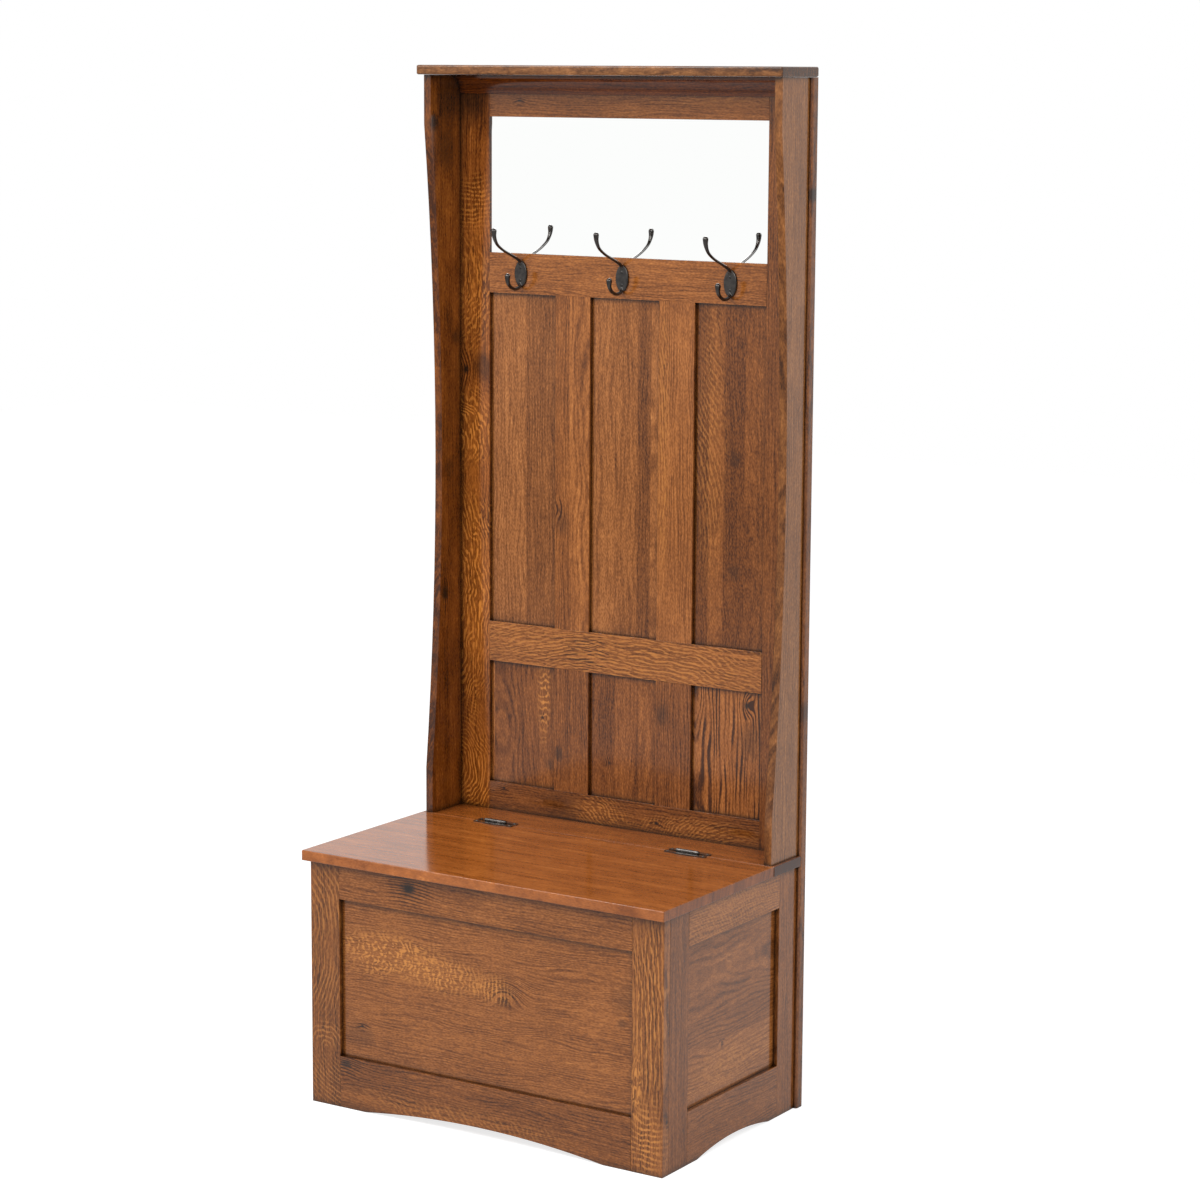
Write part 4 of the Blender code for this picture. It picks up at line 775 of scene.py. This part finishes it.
LEAF_T = 0.9 * MM
LOBE_X = 1.44 * INCH
LOBE_Y = 0.31 * INCH
HINGE_SCREW_R = 2.7 * MM
HINGE_SCREW_L = 12.0 * MM
for side in ("left", "right"):
    pin_low, pin_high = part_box("hinge_" + side + "_pin")
    middle = (pin_low + pin_high) / 2
    for part, toward in (("leaf_fixed", 1), ("leaf_lid", -1), ("pin", 0)):
        node = "hinge_" + side + "_" + part
        add_piece(node + "_smooth", merged_copy(node), worn_bronze, node, SHARP_TURN_METAL)
        if toward == 0:
            continue
        leaf_low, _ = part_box(node)
        for label, sign in (("left", -1), ("right", 1)):
            place = (middle.x + sign * LOBE_X, middle.y + toward * LOBE_Y, leaf_low.z + LEAF_T)
            drive_screw(node + "_screw_" + label, place, (0.0, 0.0, -1.0), HINGE_SCREW_R, HINGE_SCREW_L,
                        BODIES[node], worn_bronze)

# Float glass silvered on its back: a clean reflection of a white studio.
dress("mirror_glass", new_material("silvered_mirror_glass", Base_Color=rgb("#FCFDFC"), Metallic=1.0,
                                   Roughness=0.0)[0])


# Studio: a pale floor that keeps the shadow, white behind, one broad key and a softer fill.

WHITE = rgb("#FFFFFF")
FLOOR_BOUNCE = rgb("#D8D8D8")
FLOOR_SHADE = (0.45, 0.45, 0.45, 1.0)
FLOOR_GLOW = (0.77, 0.77, 0.77, 1.0)
FLOOR_HALF_W = 9.0
FLOOR_DROP = 0.5 * MM
FLOOR_SPREAD = 0.4  # What makes metres of floor comparable to directions in the world.
WORLD_LIGHT = 0.55
FRONT_GLOSS = 0.65
BACK_GLOSS = 1.0
FRONT_FLOOR_GLOSS = 0.24
BACK_FLOOR_GLOSS = 0.78
SHEEN_END = 0.8  # How far before and behind the bench the sheen stops changing.
HORIZON_LOW, HORIZON_HIGH = -0.15, 0.03
BELOW_HORIZON = -1.0


def studio_sight(tree, depth, height, front, behind):
    """Which rays see the studio, and how brightly.

    What the camera, the glass and the mirror see is white, and what the lacquer mirrors is a studio that is
    dimmer in front of the bench than behind it.
    """
    path = add(tree, "ShaderNodeLightPath")
    direct = add(tree, "ShaderNodeMath", {"operation": "MAXIMUM"}, {
        0: path.outputs["Is Camera Ray"], 1: path.outputs["Is Singular Ray"]})
    direct = add(tree, "ShaderNodeMath", {"operation": "MAXIMUM"}, {
        0: direct, 1: path.outputs["Is Transmission Ray"]})
    low_front = add(tree, "ShaderNodeMapRange", inputs={
        "Value": height, "From Min": HORIZON_LOW, "From Max": HORIZON_HIGH, "To Min": front, "To Max": 1.0})
    sheen = add(tree, "ShaderNodeMapRange", SMOOTH_STEP, {
        "Value": depth, "From Min": -SHEEN_END, "From Max": SHEEN_END, "To Min": low_front, "To Max": behind})
    strength = add(tree, "ShaderNodeMath", {"operation": "MAXIMUM"}, {0: direct, 1: sheen})
    seen = add(tree, "ShaderNodeMath", {"operation": "MAXIMUM"}, {0: direct, 1: path.outputs["Is Glossy Ray"]})
    return seen, strength


world = bpy.data.worlds.new("white_studio")
scene.world = world
world.use_nodes = True
tree = world.node_tree
tree.nodes.clear()
aim = add(tree, "ShaderNodeSeparateXYZ", inputs={"Vector": add(tree, "ShaderNodeTexCoord")})
seen, strength = studio_sight(tree, aim.outputs["Y"], aim.outputs["Z"], FRONT_GLOSS, BACK_GLOSS)
dim = add(tree, "ShaderNodeBackground", inputs={"Color": WHITE, "Strength": WORLD_LIGHT})
white = add(tree, "ShaderNodeBackground", inputs={"Color": WHITE, "Strength": strength})
pick = add(tree, "ShaderNodeMixShader", inputs={0: seen, 1: dim, 2: white})
add(tree, "ShaderNodeOutputWorld", inputs={"Surface": pick})

work = bmesh.new()
bmesh.ops.create_grid(work, x_segments=1, y_segments=1, size=FLOOR_HALF_W)
floor_mesh = bpy.data.meshes.new("floor")
work.to_mesh(floor_mesh)
work.free()
floor = bpy.data.objects.new("floor", floor_mesh)
scene.collection.objects.link(floor)
floor.location.z = -FLOOR_DROP
pale = bpy.data.materials.new("pale_floor")
pale.use_nodes = True
tree = pale.node_tree
tree.nodes.clear()
where = add(tree, "ShaderNodeTexCoord")
spread = add(tree, "ShaderNodeMapping", inputs={"Vector": where.outputs["Object"], "Scale": (FLOOR_SPREAD,) * 3})
aim = add(tree, "ShaderNodeSeparateXYZ", inputs={"Vector": spread})
seen, strength = studio_sight(tree, aim.outputs["Y"], BELOW_HORIZON, FRONT_FLOOR_GLOSS, BACK_FLOOR_GLOSS)
bounce = add(tree, "ShaderNodeBsdfDiffuse", inputs={"Color": FLOOR_BOUNCE})
shade = add(tree, "ShaderNodeBsdfDiffuse", inputs={"Color": FLOOR_SHADE})
glow = add(tree, "ShaderNodeEmission", inputs={"Color": FLOOR_GLOW, "Strength": strength})
both = add(tree, "ShaderNodeAddShader", inputs={0: shade, 1: glow})
pick = add(tree, "ShaderNodeMixShader", inputs={0: seen, 1: bounce, 2: both})
add(tree, "ShaderNodeOutputMaterial", inputs={"Surface": pick})
floor_mesh.materials.append(pale)

LAMP_SIZE = 2.6
LAMP_AIM = (0.0, 0.0, 0.7)
LAMPS = (("key_light", (-1.7, -3.0, 3.9), 135.0), ("fill_light", (2.6, -2.8, 3.6), 108.0))
for name, place, watts in LAMPS:
    light = bpy.data.lights.new(name, "AREA")
    light.shape = "RECTANGLE"
    light.size = light.size_y = LAMP_SIZE
    light.energy = watts
    lamp = bpy.data.objects.new(name, light)
    lamp.location = place
    lamp.rotation_mode = "QUATERNION"
    lamp.rotation_quaternion = (Vector(LAMP_AIM) - Vector(place)).to_track_quat("-Z", "Y")
    scene.collection.objects.link(lamp)

# The camera, solved from the three known sizes.
VIEW_TURN = math.radians(32.854)
VIEW_PITCH = math.radians(9.394)
VIEW_ROLL = math.radians(0.325)
VIEW_FROM = (3.09016, -4.63741, 1.84686)
SENSOR_W = 36.0
LENS_LENGTH = 96.131
lens = bpy.data.cameras.new("camera")
lens.sensor_width = SENSOR_W
lens.lens = LENS_LENGTH
camera = bpy.data.objects.new("camera", lens)
camera.rotation_mode = "QUATERNION"
camera.location = VIEW_FROM
turn = Matrix.Rotation(VIEW_TURN, 3, "Z") @ Matrix.Rotation(math.pi / 2 - VIEW_PITCH, 3, "X")
camera.rotation_quaternion = (turn @ Matrix.Rotation(VIEW_ROLL, 3, "Z")).to_quaternion()
scene.collection.objects.link(camera)
scene.camera = camera
scene.view_settings.view_transform = "Standard"
